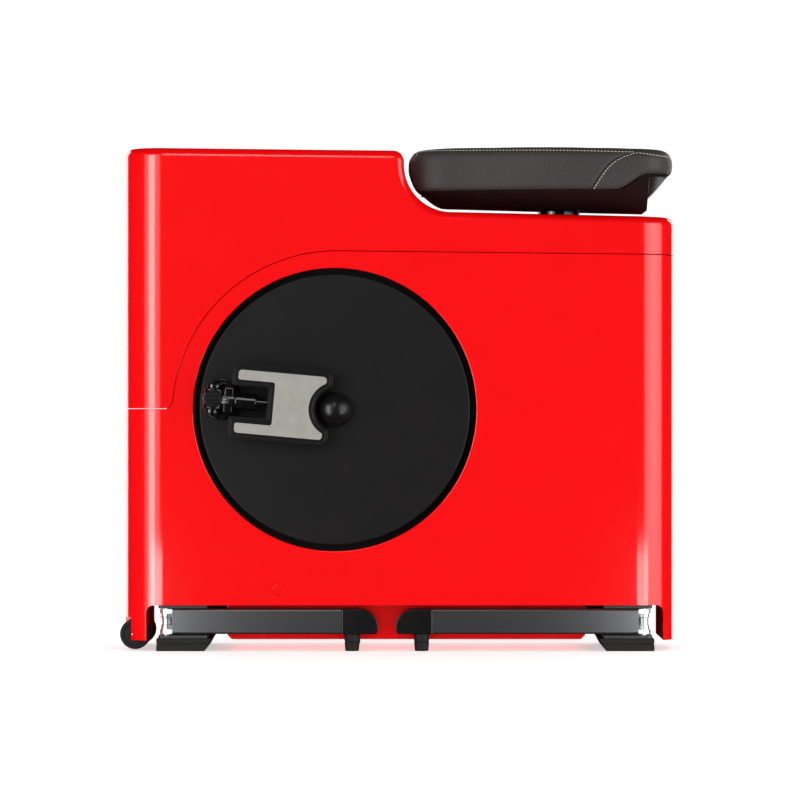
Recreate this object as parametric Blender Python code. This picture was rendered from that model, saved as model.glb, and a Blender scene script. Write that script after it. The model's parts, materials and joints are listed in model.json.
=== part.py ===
"""A fold-away exercise bike: a flat body on swing-out stabiliser arms, with folding pedals.

Metres, +Z up. The origin is on the floor under the middle of the body. The front is at -X,
the saddle is at the rear, and the left side is at -Y.
"""

from math import asin, atan, cos, pi, radians, sin, sqrt, tan

import bmesh
import bpy
from mathutils import Matrix, Vector

# ---- driving dimensions ----
GAP = 0.0003            # between pieces that touch
BODY_LENGTH = 0.7775
BODY_WIDTH = 0.200
BODY_HEIGHT = 0.7088    # at the front edge
WALL = 0.003            # casing walls
PLAN_RADIUS = 0.057     # upright corners of the body
EDGE_RADIUS = 0.012     # rounding along the top edges
TOP_SLOPE = 0.0112      # the top falls towards the rear
STEP_FROM_FRONT = 0.3946   # upright face of the step, behind the front face
STEP_RADIUS = 0.015     # top corner of the step
SWEEP_RADIUS = 0.067    # hollow curve at the foot of the step
DECK_HEIGHT = 0.6196    # deck under the saddle, at the step
DECK_SLOPE = 0.0225
POST_FOOT = 0.015       # floor clearance of the end posts
FRONT_POST = 0.032      # thickness of the end posts
REAR_POST = 0.0175
BAY_HEIGHT = 0.065      # roof of the bay that the arms fold into
BAY_RADIUS = 0.011

SEAM_REAR = 0.556       # seam height at the rear face
SEAM_CREST = 0.563      # and over the crank
SEAM_FRONT = 0.341      # and at the front face
SEAM_RADIUS = 0.2317
SEAM_FILLET = 0.014
SEAM_GAP = 0.001
SEAM_SHIFT = 0.0032     # the seam's arc is centred behind the crank axis

CRANK_FROM_FRONT = 0.2973
CRANK_HEIGHT = 0.340
DISC_RADIUS = 0.190
DISC_THICK = 0.008
DISC_REVEAL = 0.009     # gap between the disc and the casing
DISC_SUNK = 0.002       # the disc's face behind the side of the body
CRANK_TILT = radians(5.1)
BALL_RADIUS = 0.0244
BOSS_FROM_RIM = 0.032   # middle of the boss inside the disc's rim
PIN_PAST_BOSS = 0.013   # pedal's fold pin beyond the boss
BOSS_RADIUS = 0.029
BOSS_PROUD = 0.0045
CRANK_ARM_THICK = 0.012
CRANK_ARM_WIDTH = 0.044
AXLE_RADIUS = 0.010
BEARING_RADIUS = 0.021
BEARING_WIDTH = 0.012
BEARING_SPREAD = 0.028  # middle of each bearing from the mid-plane
WELL_DEPTH = 0.030      # from the side of the body to the floor of the well

PEDAL_LIFT = 0.019      # spindle axis above the disc
KNUCKLE_RADIUS = 0.014
KNUCKLE_WIDTH = 0.0284
EAR_THICK = 0.006
EAR_RADIUS = 0.010
CAP_RADIUS = 0.0123
CAP_TRAVEL = 0.002
CAP_POCKET = 0.006      # depth of its pocket
CAP_PROUD = 0.0015
CAP_PITCH = 0.0055      # of its flutes
CAP_FLUTE = 0.0024
FOLD_PIN = 0.003        # hole for the fold pin through the knuckle
COLLAR_START = 0.016    # from the fold pin
COLLAR_LENGTH = 0.012
COLLAR_WIDTH = 0.039
COLLAR_HEIGHT = 0.022
BARREL_RADIUS = 0.012
BARREL_LENGTH = 0.045
STUB_RADIUS = 0.006
STUB_LENGTH = 0.0155
SPINDLE_RADIUS = 0.005
SPINDLE_SHORT = 0.0405  # spindle's end before the crank axis
PEDAL_WIDTH = 0.105
PEDAL_SHORT = 0.006     # platform's far edge before the crank axis
PEDAL_THICK = 0.018
PEDAL_CORNER = 0.012
HORN_RADIUS = 0.008     # tips beside the notch
NOTCH_SPREAD = radians(60)  # half the notch's arc
PEDAL_START = 0.025     # from the fold pin to the platform's near edge
SLOT_END = 0.077        # and to the end of its slot
SLOT_WIDTH = 0.044
NOTCH_RADIUS = 0.031
NOTCH_SHIFT = 0.003     # past the crank axis
PIN_HOLE = 0.0035       # for the fold pin
TREAD_INSET = 0.008
TREAD_THICK = 0.0035
TREAD_DEPTH = 0.003

ARM_HEIGHT = 0.035
ARM_THICK = 0.026
ARM_BOTTOM = 0.0242
ARM_WALL = 0.002
ARM_INSET = 0.005       # arms behind the side of the body
ARM_MEET = -0.015       # where the arms' ends face each other
ARM_SPLIT = 0.024       # between their tips
CAP_LENGTH = 0.052
CAP_SWEEP = 0.026       # length of the curve down to the tip
CAP_DROP = 0.027        # and its height
CAP_TOE = 0.0045        # rounding under the tip
CAP_PLUG = 0.018        # plug inside the tube
FOOT_RADIUS = 0.011
FOOT_FROM_TIP = 0.037
FRONT_HINGE = 0.060     # hinge pin behind the front face
REAR_HINGE = 0.0445     # hinge pin ahead of the rear face
HINGE_REACH = 0.0085    # pin to the end of the arm's tube
PIN_RADIUS = 0.004
TAB_RADIUS = 0.009
TAB_THICK = 0.006
TAB_REACH = 0.020
BRACKET_PAST_PIN = 0.011
BRACKET_LENGTH = 0.069
PAD_HEIGHT = 0.0175
PAD_LENGTH = 0.078
PAD_PAST_PIN = 0.014
PAD_SLANT = 0.010       # inner end's overhang

WHEEL_RADIUS = 0.0215
WHEEL_WIDTH = 0.020
WHEEL_OUT = 0.0065      # wheel ahead of the front face
WHEEL_LIFT = 0.0015     # wheel clear of the floor
WHEEL_SPREAD = 0.062
WHEEL_AXLE = 0.004
WHEEL_ROOM = 0.0025

TUB_FRONT = -0.2405     # tray between the arms
TUB_REAR = 0.2655
TUB_WIDTH = 0.124
TUB_CHAMFER = 0.006
SCREW_CAP_RADIUS = 0.008
SCREW_CAP_AHEAD = 0.0789    # of the crank axis
SCREW_CAP_HEIGHT = 0.088

POST_FROM_REAR = 0.1615
POST_RADIUS = 0.030
POST_TRAVEL = 0.240
POST_STAY = 0.110       # length that stays in the guide at full height
GUIDE_WALL = 0.0025
SEAT_TUBE_WALL = 0.003
SEAT_CLEARANCE = 0.004  # saddle behind the step
SEAT_WIDTH = 0.258
NOSE_WIDTH = 0.170
SEAT_TOP = 0.710
SEAT_BELLY = 0.648      # lower edge of the leather
SEAT_ROUND = 0.014      # rounding along the saddle's top edges
PAN_LIFT = 0.0095       # pan above the deck
PAN_FIRST = 0.055       # where the pan starts along the saddle
PAN_STEP = 0.90         # where its rear face steps up
PAN_LAST = 0.972
NOSE_LIFT = 0.030       # leather's lower edge above its belly, at the nose
TAIL_LIFT = 0.0215      # and at the tail
PAN_INSET = 0.006       # pan behind the leather's edge
PAN_BOW = 0.020         # rise of the pan's front
PAN_BOW_SHARE = 0.085   # and its length along the saddle
PAN_TAIL_STEP = 0.016   # step at its rear
PAN_TAIL_SWEEP = 0.030
PAN_LEAST = 0.003
PAN_TAPER = 0.5         # width of its underside, as a share of its top
POST_WALL = 0.003
POST_HEAD = 0.020       # solid end of the post
# shares of the saddle's length at which its sections are drawn, closer where it bends
SEAT_STATIONS = (
    0.0, 0.012, 0.035, 0.055, 0.09, 0.14, 0.22, 0.35, 0.50, 0.65, 0.78,
    0.82, 0.86, 0.90, 0.912, 0.94, 0.972, 0.99, 1.0,
)

RAIL_WIDTH = 0.056
RAIL_HEIGHT = 0.030
CROSS_LENGTH = 0.050    # cross tubes over the hinge brackets
CROSS_HEIGHT = 0.024
TUBE_WALL = 0.0025      # walls of the frame's box tubes
WELD_DEPTH = 0.010      # towers sunk into the rail
TUBE_BELOW_DECK = 0.020     # top of the seat tube
GUIDE_BELOW_DECK = 0.002    # top of the seat guide
SHELL_WALL = 0.007      # round the crank's bearings
TOWER_WIDTH = 0.050
TOWER_LENGTH = 0.040
FORK_WIDTH = 0.050      # plates that hold the flywheel's axle
FORK_THICK = 0.006
FORK_TOP = 0.020        # above the flywheel's axle
FORK_CLEARANCE = 0.005  # beside the flywheel
FORK_FOOT = 0.012       # foot of the plate beyond the belt
FLYWHEEL_FROM_TUBE = 0.0106    # rim to the seat tube
FLYWHEEL_DROP = 0.110
FLYWHEEL_RADIUS = 0.095
FLYWHEEL_WIDTH = 0.028
FLYWHEEL_AXLE = 0.006
FLYWHEEL_WEB = 0.012
FLYWHEEL_RIM = 0.022    # depth of the heavy rim
PULLEY_RADIUS = 0.110
SMALL_PULLEY_RADIUS = 0.022
BELT_WIDTH = 0.012
BELT_THICK = 0.003
BELT_OFFSET = 0.046     # belt's middle plane, to the right of the mid-plane
YOKE_CLEARANCE = 0.003
YOKE_THICK = 0.006
YOKE_PIN = 0.0025
YOKE_PIVOT_TURN = radians(22)
YOKE_FIRST = radians(34)
YOKE_LAST = radians(78)
YOKE_OVERLAP = 0.014    # cheeks over the flywheel's rim
YOKE_CHEEK = 0.003
YOKE_EAR = 0.005        # radius round the pivot
YOKE_EAR_HALF = 0.008   # half the link's width
YOKE_PIVOT_OUT = 0.011  # pivot outside the flywheel's rim
LUG_THICK = 0.003       # the frame's lugs for the pivot
LUG_GAP = 0.0005
LUG_HALF = 0.005
MOTOR_LENGTH = 0.040    # gearbox of the brake motor
MOTOR_WIDTH = 0.040
MOTOR_HEIGHT = 0.022
MOTOR_RADIUS = 0.014    # and the motor on it
MOTOR_TOP = 0.050
MOTOR_SHIFT = 0.018
MOTOR_OVER_WHEEL = 0.045    # above the flywheel

GRIP_WIDTH = 0.080
GRIP_HEIGHT = 0.045
GRIP_CENTRE = 0.6135
GRIP_DEPTH = 0.024
GRIP_RADIUS = 0.010
GRIP_WALL = 0.0025

# ---- places that follow from them ----
HALF_WIDTH = BODY_WIDTH / 2
FRONT = -BODY_LENGTH / 2 + WHEEL_OUT / 2
REAR = BODY_LENGTH / 2 + WHEEL_OUT / 2
STEP = FRONT + STEP_FROM_FRONT
CRANK = FRONT + CRANK_FROM_FRONT
POST = REAR - POST_FROM_REAR
PIN_FRONT = FRONT + FRONT_HINGE
PIN_REAR = REAR - REAR_HINGE
ARM_Y = HALF_WIDTH - ARM_INSET - ARM_THICK / 2
DISC_FACE = HALF_WIDTH - DISC_SUNK
RAIL_BOTTOM = BAY_HEIGHT + WALL + GAP
RAIL_TOP = RAIL_BOTTOM + RAIL_HEIGHT
BOSS_REACH = DISC_RADIUS - BOSS_FROM_RIM    # from the crank axis
CRANK_REACH = BOSS_REACH + PIN_PAST_BOSS    # and to the fold pin
SPINDLE_LENGTH = CRANK_REACH - SPINDLE_SHORT - COLLAR_START - BARREL_LENGTH - STUB_LENGTH
PEDAL_LENGTH = CRANK_REACH - PEDAL_START - PEDAL_SHORT
SEAT_TUBE_RADIUS = POST_RADIUS + GUIDE_WALL + 2 * GAP + SEAT_TUBE_WALL
FLYWHEEL_X = POST - SEAT_TUBE_RADIUS - FLYWHEEL_FROM_TUBE - FLYWHEEL_RADIUS
FLYWHEEL_Z = CRANK_HEIGHT - FLYWHEEL_DROP
WHEEL_X = FRONT - WHEEL_OUT + WHEEL_RADIUS
WHEEL_Z = WHEEL_RADIUS + WHEEL_LIFT
WHEEL_AXLE_REACH = WHEEL_SPREAD + WHEEL_WIDTH / 2 + WHEEL_ROOM + WALL
SHELL_EDGE = 0.002      # bearing shell past its bearing
SIDES = (("left", -1), ("right", 1))
BIG = 1.5


# ---- tools for building meshes ----
def clear_scene():
    for item in list(bpy.data.objects):
        bpy.data.objects.remove(item, do_unlink=True)


def material(name, colour, roughness, metallic=0.0):
    look = bpy.data.materials.new(name)
    look.use_nodes = True
    shader = look.node_tree.nodes["Principled BSDF"]
    shader.inputs["Base Color"].default_value = (*colour, 1.0)
    shader.inputs["Roughness"].default_value = roughness
    shader.inputs["Metallic"].default_value = metallic
    look.diffuse_color = (*colour, 1.0)
    return look


def build_looks():
    return {
        "red": material("gloss_red_plastic", (0.90, 0.004, 0.006), 0.12),
        "black": material("satin_black_plastic", (0.012, 0.012, 0.013), 0.42),
        "gloss": material("gloss_black_enamel", (0.008, 0.008, 0.009), 0.15),
        "grey": material("grey_tread_rubber", (0.36, 0.36, 0.33), 0.75),
        "leather": material("brown_grey_leather", (0.070, 0.057, 0.054), 0.55),
        "graphite": material("graphite_enamelled_steel", (0.09, 0.09, 0.10), 0.28, 0.8),
        "rubber": material("black_rubber", (0.024, 0.021, 0.021), 0.85),
        "steel": material("bright_steel", (0.55, 0.55, 0.57), 0.30, 1.0),
        "iron": material("machined_cast_iron", (0.18, 0.18, 0.19), 0.40, 1.0),
        "frame": material("black_frame_enamel", (0.02, 0.02, 0.022), 0.45),
    }


def mesh_object(name, bm, look=None, parent=None, helper=False):
    """Turns a bmesh into an object; a helper only cuts or adds to others."""
    bmesh.ops.recalc_face_normals(bm, faces=bm.faces)
    mesh = bpy.data.meshes.new(name)
    bm.to_mesh(mesh)
    bm.free()
    item = bpy.data.objects.new(name, mesh)
    bpy.context.scene.collection.objects.link(item)
    if parent:
        item.parent = parent
    if helper:
        item.hide_render = True
        item.display_type = "WIRE"
    else:
        mesh.materials.append(look)
        mesh.shade_smooth()
        mesh.set_sharp_from_angle(angle=radians(32))
    return item


def combine(item, operation, helpers):
    for helper in helpers:
        step = item.modifiers.new(helper.name, "BOOLEAN")
        step.operation = operation
        step.object = helper
        step.solver = "EXACT"


def carve(item, *shapes):
    cutters = [mesh_object(f"{item.name}_cut", bm, None, item.parent, True) for bm in shapes]
    combine(item, "DIFFERENCE", cutters)


def fuse(item, *shapes):
    adders = [mesh_object(f"{item.name}_add", bm, None, item.parent, True) for bm in shapes]
    combine(item, "UNION", adders)


def skin(rings, closed_ends=True):
    """Joins rings of equal length into one closed surface, with flat ends."""
    bm = bmesh.new()
    rows = [[bm.verts.new(point) for point in ring] for ring in rings]
    count = len(rows[0])
    for row, following in zip(rows, rows[1:]):
        for k in range(count):
            n = (k + 1) % count
            bm.faces.new((row[k], row[n], following[n], following[k]))
    if closed_ends:
        bm.faces.new(rows[0])
        bm.faces.new(rows[-1])
    return bm


def block(x0, x1, y0, y1, z0, z1):
    corners = ((x0, y0), (x1, y0), (x1, y1), (x0, y1))
    return skin([[(x, y, z) for x, y in corners] for z in (z0, z1)])


def prism(outline, low, high, along="Y"):
    """Extrudes a flat outline along an axis; the outline's pair is the other two axes in order."""
    place = {
        "X": lambda a, b, c: (c, a, b),
        "Y": lambda a, b, c: (a, c, b),
        "Z": lambda a, b, c: (a, b, c),
    }[along]
    return skin([[place(a, b, c) for a, b in outline] for c in (low, high)])


def circle(radius, sides=32, centre=(0.0, 0.0)):
    turns = (2 * pi * k / sides for k in range(sides))
    return [(centre[0] + radius * cos(t), centre[1] + radius * sin(t)) for t in turns]


def rod(radius, low, high, centre, along="Y", sides=32):
    return prism(circle(radius, sides, centre), low, high, along)


def turned(profile, centre, along="Y", sides=48):
    """A turned solid: the profile is a closed list of (radius, position along the axis)."""
    place = {
        "X": lambda a, b, c: (c, centre[0] + a, centre[1] + b),
        "Y": lambda a, b, c: (centre[0] + a, c, centre[1] + b),
        "Z": lambda a, b, c: (centre[0] + a, centre[1] + b, c),
    }[along]
    bm = bmesh.new()
    rings = []
    for radius, position in profile:
        if radius == 0:
            rings.append([bm.verts.new(place(0, 0, position))])
            continue
        ring = [bm.verts.new(place(a, b, position)) for a, b in circle(radius, sides)]
        rings.append(ring)
    pairs = list(zip(rings, rings[1:]))
    if profile[0][0] > 0:
        pairs.append((rings[-1], rings[0]))
    for near, far in pairs:
        for k in range(sides):
            n = (k + 1) % sides
            if len(near) == 1:
                bm.faces.new((near[0], far[n], far[k]))
            elif len(far) == 1:
                bm.faces.new((near[k], near[n], far[0]))
            else:
                bm.faces.new((near[k], near[n], far[n], far[k]))
    return bm


def rounded(corners, steps=4):
    """A closed outline from (x, y, radius) corners, hollow or full."""
    outline = []
    count = len(corners)
    for k, (x, y, radius) in enumerate(corners):
        here = Vector((x, y))
        if radius <= 0:
            outline.append((x, y))
            continue
        before = (Vector(corners[k - 1][:2]) - here).normalized()
        after = (Vector(corners[(k + 1) % count][:2]) - here).normalized()
        half = before.angle(after) / 2
        centre = here + (before + after).normalized() * (radius / sin(half))
        start = here + before * (radius / tan(half)) - centre
        end = here + after * (radius / tan(half)) - centre
        turn = start.angle_signed(end)
        for step in range(steps + 1):
            share = turn * step / steps
            spoke = Matrix.Rotation(-share, 2) @ start
            outline.append(tuple(centre + spoke))
    return outline


def empty(name, matrix):
    item = bpy.data.objects.new(name, None)
    bpy.context.scene.collection.objects.link(item)
    item.matrix_world = matrix
    return item


# ---- the body's outer form ----
def top_height(x, inset):
    """Height of the sloping top over a place ahead of the step."""
    return BODY_HEIGHT - TOP_SLOPE * (x - FRONT) - inset / cos(atan(TOP_SLOPE))


def deck_height(x, inset):
    return DECK_HEIGHT - DECK_SLOPE * (x - STEP) - inset / cos(atan(DECK_SLOPE))


def step_curve(inset, steps):
    """Top corner of the step and the sweep at its foot, as (x, z, normal x, normal z)."""
    points = []
    lean = atan(TOP_SLOPE)
    x = STEP - STEP_RADIUS
    z = top_height(x, STEP_RADIUS)
    for k in range(steps + 1):
        turn = lean + (pi / 2 - lean) * k / steps
        reach = STEP_RADIUS - inset
        points.append((x + reach * sin(turn), z + reach * cos(turn), sin(turn), cos(turn)))
    lean = atan(DECK_SLOPE)
    x = STEP + SWEEP_RADIUS
    z = deck_height(x, -SWEEP_RADIUS)
    for k in range(2 * steps + 1):
        turn = (pi / 2 - lean) * k / (2 * steps)
        reach = SWEEP_RADIUS + inset
        points.append((x - reach * cos(turn), z - reach * sin(turn), cos(turn), sin(turn)))
    return points


def body_block(inset, bottom, corner_steps=5, step_steps=3, edge_steps=2):
    """The body as one solid, every face moved in by inset."""
    radius = EDGE_RADIUS - inset
    deep = inset + radius
    side = HALF_WIDTH - PLAN_RADIUS
    reach = PLAN_RADIUS - deep
    half = []
    for k in range(corner_steps + 1):
        turn = pi / 2 * k / corner_steps
        x = FRONT + PLAN_RADIUS - reach * cos(turn)
        y = side + reach * sin(turn)
        half.append((x, y, top_height(x, deep), (0, 1), (-cos(turn), sin(turn))))
    for x, z, nx, nz in step_curve(deep, step_steps):
        half.append((x, HALF_WIDTH - deep, z, (nx, nz), (0, 1)))
    for k in range(corner_steps + 1):
        turn = pi / 2 * (1 - k / corner_steps)
        x = REAR - PLAN_RADIUS + reach * cos(turn)
        y = side + reach * sin(turn)
        half.append((x, y, deck_height(x, deep), (0, 1), (cos(turn), sin(turn))))

    bm = bmesh.new()
    count = len(half)

    def ring(angle, sign):
        made = []
        for x, y, z, (ax, az), (bx, by) in half:
            up, out = radius * cos(angle), radius * sin(angle)
            made.append(bm.verts.new((x + up * ax + out * bx, sign * (y + out * by), z + up * az)))
        return made

    rings = []
    for k in range(edge_steps + 1):
        angle = pi / 2 * k / edge_steps
        rings.append(ring(angle, -1) + ring(angle, 1)[::-1])
    total = 2 * count
    for inner, outer in zip(rings, rings[1:]):
        for k in range(total):
            n = (k + 1) % total
            bm.faces.new((inner[k], inner[n], outer[n], outer[k]))
    crown = rings[0]
    for k in range(count - 1):
        bm.faces.new((crown[k], crown[k + 1], crown[total - 2 - k], crown[total - 1 - k]))
    rim = rings[-1]
    straight = range(corner_steps, count - corner_steps)
    left = [k for k in range(count) if k not in straight[1:-1]]
    feet = {}
    for k in left + [total - 1 - k for k in left]:
        x, y, _ = rim[k].co
        feet[k] = bm.verts.new((x, y, bottom))
    order = sorted(feet)
    for k, n in zip(order, order[1:] + order[:1]):
        if n - k in (1, 1 - total):
            bm.faces.new((rim[k], rim[n], feet[n], feet[k]))
        else:
            bm.faces.new([rim[j] for j in range(k, n + 1)] + [feet[n], feet[k]])
    bm.faces.new([feet[k] for k in order])
    return bm


def seam_line(offset):
    """The seam from the rear face to the front face, moved up or out by offset."""
    points = [(REAR + BIG / 10, SEAM_REAR + offset)]
    centre_x = CRANK + SEAM_SHIFT
    centre_z = SEAM_CREST - SEAM_RADIUS
    reach = SEAM_RADIUS + offset
    foot = SEAM_FRONT + SEAM_FILLET
    last = asin((foot - centre_z) / reach)
    steps = 14
    for k in range(steps + 1):
        turn = pi / 2 + (pi / 2 - last) * k / steps
        points.append((centre_x + reach * cos(turn), centre_z + reach * sin(turn)))
    small = SEAM_FILLET - offset
    x = centre_x - reach * cos(last) - small
    for k in range(1, 5):
        turn = -pi / 2 * k / 4
        points.append((x + small * cos(turn), foot + small * sin(turn)))
    points.append((FRONT - BIG / 10, SEAM_FRONT + offset))
    return points


def bay_outline(grow):
    """The arms' bay in side view; grow adds the wall round it."""
    x0 = FRONT + FRONT_POST - grow
    x1 = REAR - REAR_POST + grow
    top = BAY_HEIGHT + grow
    radius = BAY_RADIUS + grow
    return rounded([(x0, -BIG, 0), (x1, -BIG, 0), (x1, top, radius), (x0, top, radius)])


def wheel_room(side, grow):
    """The notch in the front post that a transport wheel turns in."""
    half = WHEEL_WIDTH / 2 + WHEEL_ROOM + grow
    y = side * WHEEL_SPREAD
    back = FRONT + FRONT_POST + grow / 2
    top = WHEEL_Z + WHEEL_RADIUS + WHEEL_ROOM + grow
    return block(FRONT - BIG, back, y - half, y + half, -BIG, top)


def build_cavity():
    """The hollow inside the casings, which leaves walls round the bay and the wheels."""
    cavity = mesh_object("casing_cavity", body_block(WALL, -0.02), None, None, True)
    walls = [prism(bay_outline(WALL), -BIG, BIG)]
    walls += [wheel_room(side, WALL) for _, side in SIDES]
    carve(cavity, *walls)
    return cavity


def casing(name, region, look, cavity):
    """One casing: the body's form without its cavity, kept inside a region."""
    item = mesh_object(name, body_block(0, POST_FOOT), look)
    combine(item, "DIFFERENCE", [cavity])
    keep = mesh_object(f"{name}_region", region, None, None, True)
    combine(item, "INTERSECT", [keep])
    return item


def build_upper_casing(look, cavity):
    line = seam_line(SEAM_GAP / 2)
    region = prism(line + [(FRONT - BIG / 10, BIG), (REAR + BIG / 10, BIG)], -BIG, BIG)
    item = casing("upper_casing", region, look, cavity)
    hole = POST_RADIUS + GUIDE_WALL + 3 * GAP
    carve(
        item,
        rod(hole, SEAM_REAR, BIG, (POST, 0), "Z", 32),
        grip_prism(GAP, FRONT - 0.02, FRONT + GRIP_DEPTH),
    )


def build_lower_casings(look, cavity):
    for name, side in SIDES:
        line = seam_line(-SEAM_GAP / 2)
        near, far = sorted((side * GAP / 2, side * BIG))
        region = prism(line + [(FRONT - BIG / 10, -BIG), (REAR + BIG / 10, -BIG)], near, far)
        item = casing(f"lower_casing_{name}", region, look, cavity)
        y0, y1 = sorted((side * (HALF_WIDTH - 2 * WALL), side * (HALF_WIDTH + WALL)))
        opening = DISC_RADIUS + DISC_REVEAL
        floor_hole = TUB_WIDTH / 2 - 3 * WALL
        carve(
            item,
            prism(bay_outline(0), -BIG, BIG),
            wheel_room(side, 0),
            rod(opening, y0, y1, (CRANK, CRANK_HEIGHT), "Y", 48),
            block(
                TUB_FRONT + 3 * WALL, TUB_REAR - 3 * WALL,
                -floor_hole, floor_hole, BAY_HEIGHT - WALL, BAY_HEIGHT + 2 * WALL,
            ),
            rod(WHEEL_AXLE + GAP, -WHEEL_AXLE_REACH, WHEEL_AXLE_REACH, (WHEEL_X, WHEEL_Z), "Y", 12),
            rod(SCREW_CAP_RADIUS + GAP, y0, y1, screw_cap_place(), "Y", 16),
        )


def screw_cap_place():
    return (CRANK - SCREW_CAP_AHEAD, SCREW_CAP_HEIGHT)


def build_screw_caps(look):
    x, z = screw_cap_place()
    for name, side in SIDES:
        face = side * HALF_WIDTH
        profile = [(0, face), (SCREW_CAP_RADIUS - 0.0006, face), (SCREW_CAP_RADIUS, face - side * 0.0006)]
        profile += [(SCREW_CAP_RADIUS, face - side * 2 * WALL), (0, face - side * 2 * WALL)]
        mesh_object(f"screw_cap_{name}", turned(profile, (x, z), "Y", 16), look)


def grip_prism(grow, x0, x1):
    half = GRIP_WIDTH / 2 + grow
    low = GRIP_CENTRE - GRIP_HEIGHT / 2 - grow
    high = GRIP_CENTRE + GRIP_HEIGHT / 2 + grow
    radius = GRIP_RADIUS + grow
    corners = [(-half, low), (half, low), (half, high), (-half, high)]
    return prism(rounded([(y, z, radius) for y, z in corners], 3), x0, x1, "X")


def build_grip_cup(look):
    """An open finger cup set in the front face."""
    item = mesh_object("front_grip_cup", grip_prism(-GAP, FRONT + 0.0005, FRONT + GRIP_DEPTH), look)
    carve(item, grip_prism(-GRIP_WALL, FRONT - 0.01, FRONT + GRIP_DEPTH - GRIP_WALL))


def build_base_tub(look):
    """The tray between the arms, open at the top."""
    top = BAY_HEIGHT - GAP
    half = TUB_WIDTH / 2
    chamfer = TUB_CHAMFER

    def outline(inset, roof):
        x0, x1 = TUB_FRONT + inset, TUB_REAR - inset
        low = POST_FOOT + inset
        return [
            (x0 + chamfer, low), (x1 - chamfer, low), (x1, low + chamfer),
            (x1, roof), (x0, roof), (x0, low + chamfer),
        ]

    item = mesh_object("base_tub", prism(outline(0, top), -half, half), look)
    carve(item, prism(outline(WALL, top + WALL), -half + WALL, half - WALL))


# ---- the frame and what it holds ----
def guide_bottom():
    """The guide is long enough to hold the post at full height."""
    return seat_post_bottom() + POST_TRAVEL


def seat_post_top():
    """The post ends under the lowest part of the pan's sloping underside."""
    return deck_height(POST + POST_RADIUS, -PAN_LIFT) - 2 * GAP


def seat_post_bottom():
    deck = deck_height(POST, 0)
    return deck - POST_TRAVEL - POST_STAY


def fork_far_side():
    """Inner face of the plate beyond the belt that holds the flywheel's axle."""
    return BELT_OFFSET + BELT_WIDTH / 2 + FORK_THICK


def build_frame(look):
    front = PIN_FRONT - TAB_RADIUS
    rear = PIN_REAR + TAB_RADIUS
    half = RAIL_WIDTH / 2
    item = mesh_object("main_frame", block(front, rear, -half, half, RAIL_BOTTOM, RAIL_TOP), look)
    cross = ARM_Y + TAB_RADIUS
    cross_top = RAIL_BOTTOM + CROSS_HEIGHT
    inner = FLYWHEEL_WIDTH / 2 + FORK_CLEARANCE
    far = fork_far_side()
    x0, x1 = FLYWHEEL_X - FORK_WIDTH / 2, FLYWHEEL_X + FORK_WIDTH / 2
    low = RAIL_TOP - WELD_DEPTH
    tube = SEAT_TUBE_RADIUS
    tube_top = deck_height(POST, 0) - TUBE_BELOW_DECK
    shell = BEARING_SPREAD + BEARING_WIDTH / 2 + SHELL_EDGE
    tower = TOWER_WIDTH / 2
    pivot_x, pivot_z = yoke_pivot()
    lug_in = YOKE_EAR_HALF + LUG_GAP
    lug_out = lug_in + LUG_THICK
    lug_x = pivot_x - LUG_HALF
    fuse(
        item,
        block(front, front + CROSS_LENGTH, -cross, cross, RAIL_BOTTOM, cross_top),
        block(rear - CROSS_LENGTH, rear, -cross, cross, RAIL_BOTTOM, cross_top),
        block(
            CRANK - TOWER_LENGTH / 2, CRANK + TOWER_LENGTH / 2, -tower, tower,
            low, CRANK_HEIGHT - BEARING_RADIUS / 2,
        ),
        rod(BEARING_RADIUS + SHELL_WALL, -shell, shell, (CRANK, CRANK_HEIGHT), "Y", 28),
        block(x0, x1, -half, -inner, low, FLYWHEEL_Z + FORK_TOP),
        block(x0, x1, far, far + FORK_THICK, RAIL_BOTTOM, FLYWHEEL_Z + FORK_TOP),
        block(x0, x1, inner, far + 0.001, RAIL_BOTTOM + 0.001, RAIL_BOTTOM + FORK_FOOT),
        rod(tube, low, tube_top, (POST, 0), "Z", 32),
        block(lug_x, POST - tube + 0.002, -lug_out, -lug_in, pivot_z - LUG_HALF, pivot_z + LUG_HALF),
        block(lug_x, POST - tube + 0.002, lug_in, lug_out, pivot_z - LUG_HALF, pivot_z + LUG_HALF),
        rod(YOKE_PIN, -lug_in - GAP, lug_in + GAP, (pivot_x, pivot_z), "Y", 12),
    )
    wall = TUBE_WALL
    inside = RAIL_BOTTOM + wall
    carve(
        item,
        block(front - BIG, rear + BIG, -half + wall, half - wall, inside, RAIL_TOP - wall),
        block(front + wall, front + CROSS_LENGTH - wall, -BIG, BIG, inside, cross_top - wall),
        block(rear - CROSS_LENGTH + wall, rear - wall, -BIG, BIG, inside, cross_top - wall),
        block(
            CRANK - TOWER_LENGTH / 2 + wall, CRANK + TOWER_LENGTH / 2 - wall, -tower + wall, tower - wall,
            RAIL_TOP - 2 * wall, CRANK_HEIGHT - BEARING_RADIUS - 0.010,
        ),
        rod(BEARING_RADIUS + GAP, -BIG, BIG, (CRANK, CRANK_HEIGHT), "Y", 28),
        rod(tube - SEAT_TUBE_WALL, RAIL_TOP, BIG, (POST, 0), "Z", 32),
        rod(FLYWHEEL_AXLE + GAP, -BIG, BIG, (FLYWHEEL_X, FLYWHEEL_Z), "Y", 24),
    )


def build_seat_guide(look):
    outer = POST_RADIUS + GUIDE_WALL + GAP
    inner = POST_RADIUS + GAP
    low, high = guide_bottom(), deck_height(POST, 0) - GUIDE_BELOW_DECK
    profile = [(outer, low), (outer, high), (inner, high), (inner, low)]
    mesh_object("seat_guide", turned(profile, (POST, 0), "Z", 32), look)


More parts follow.
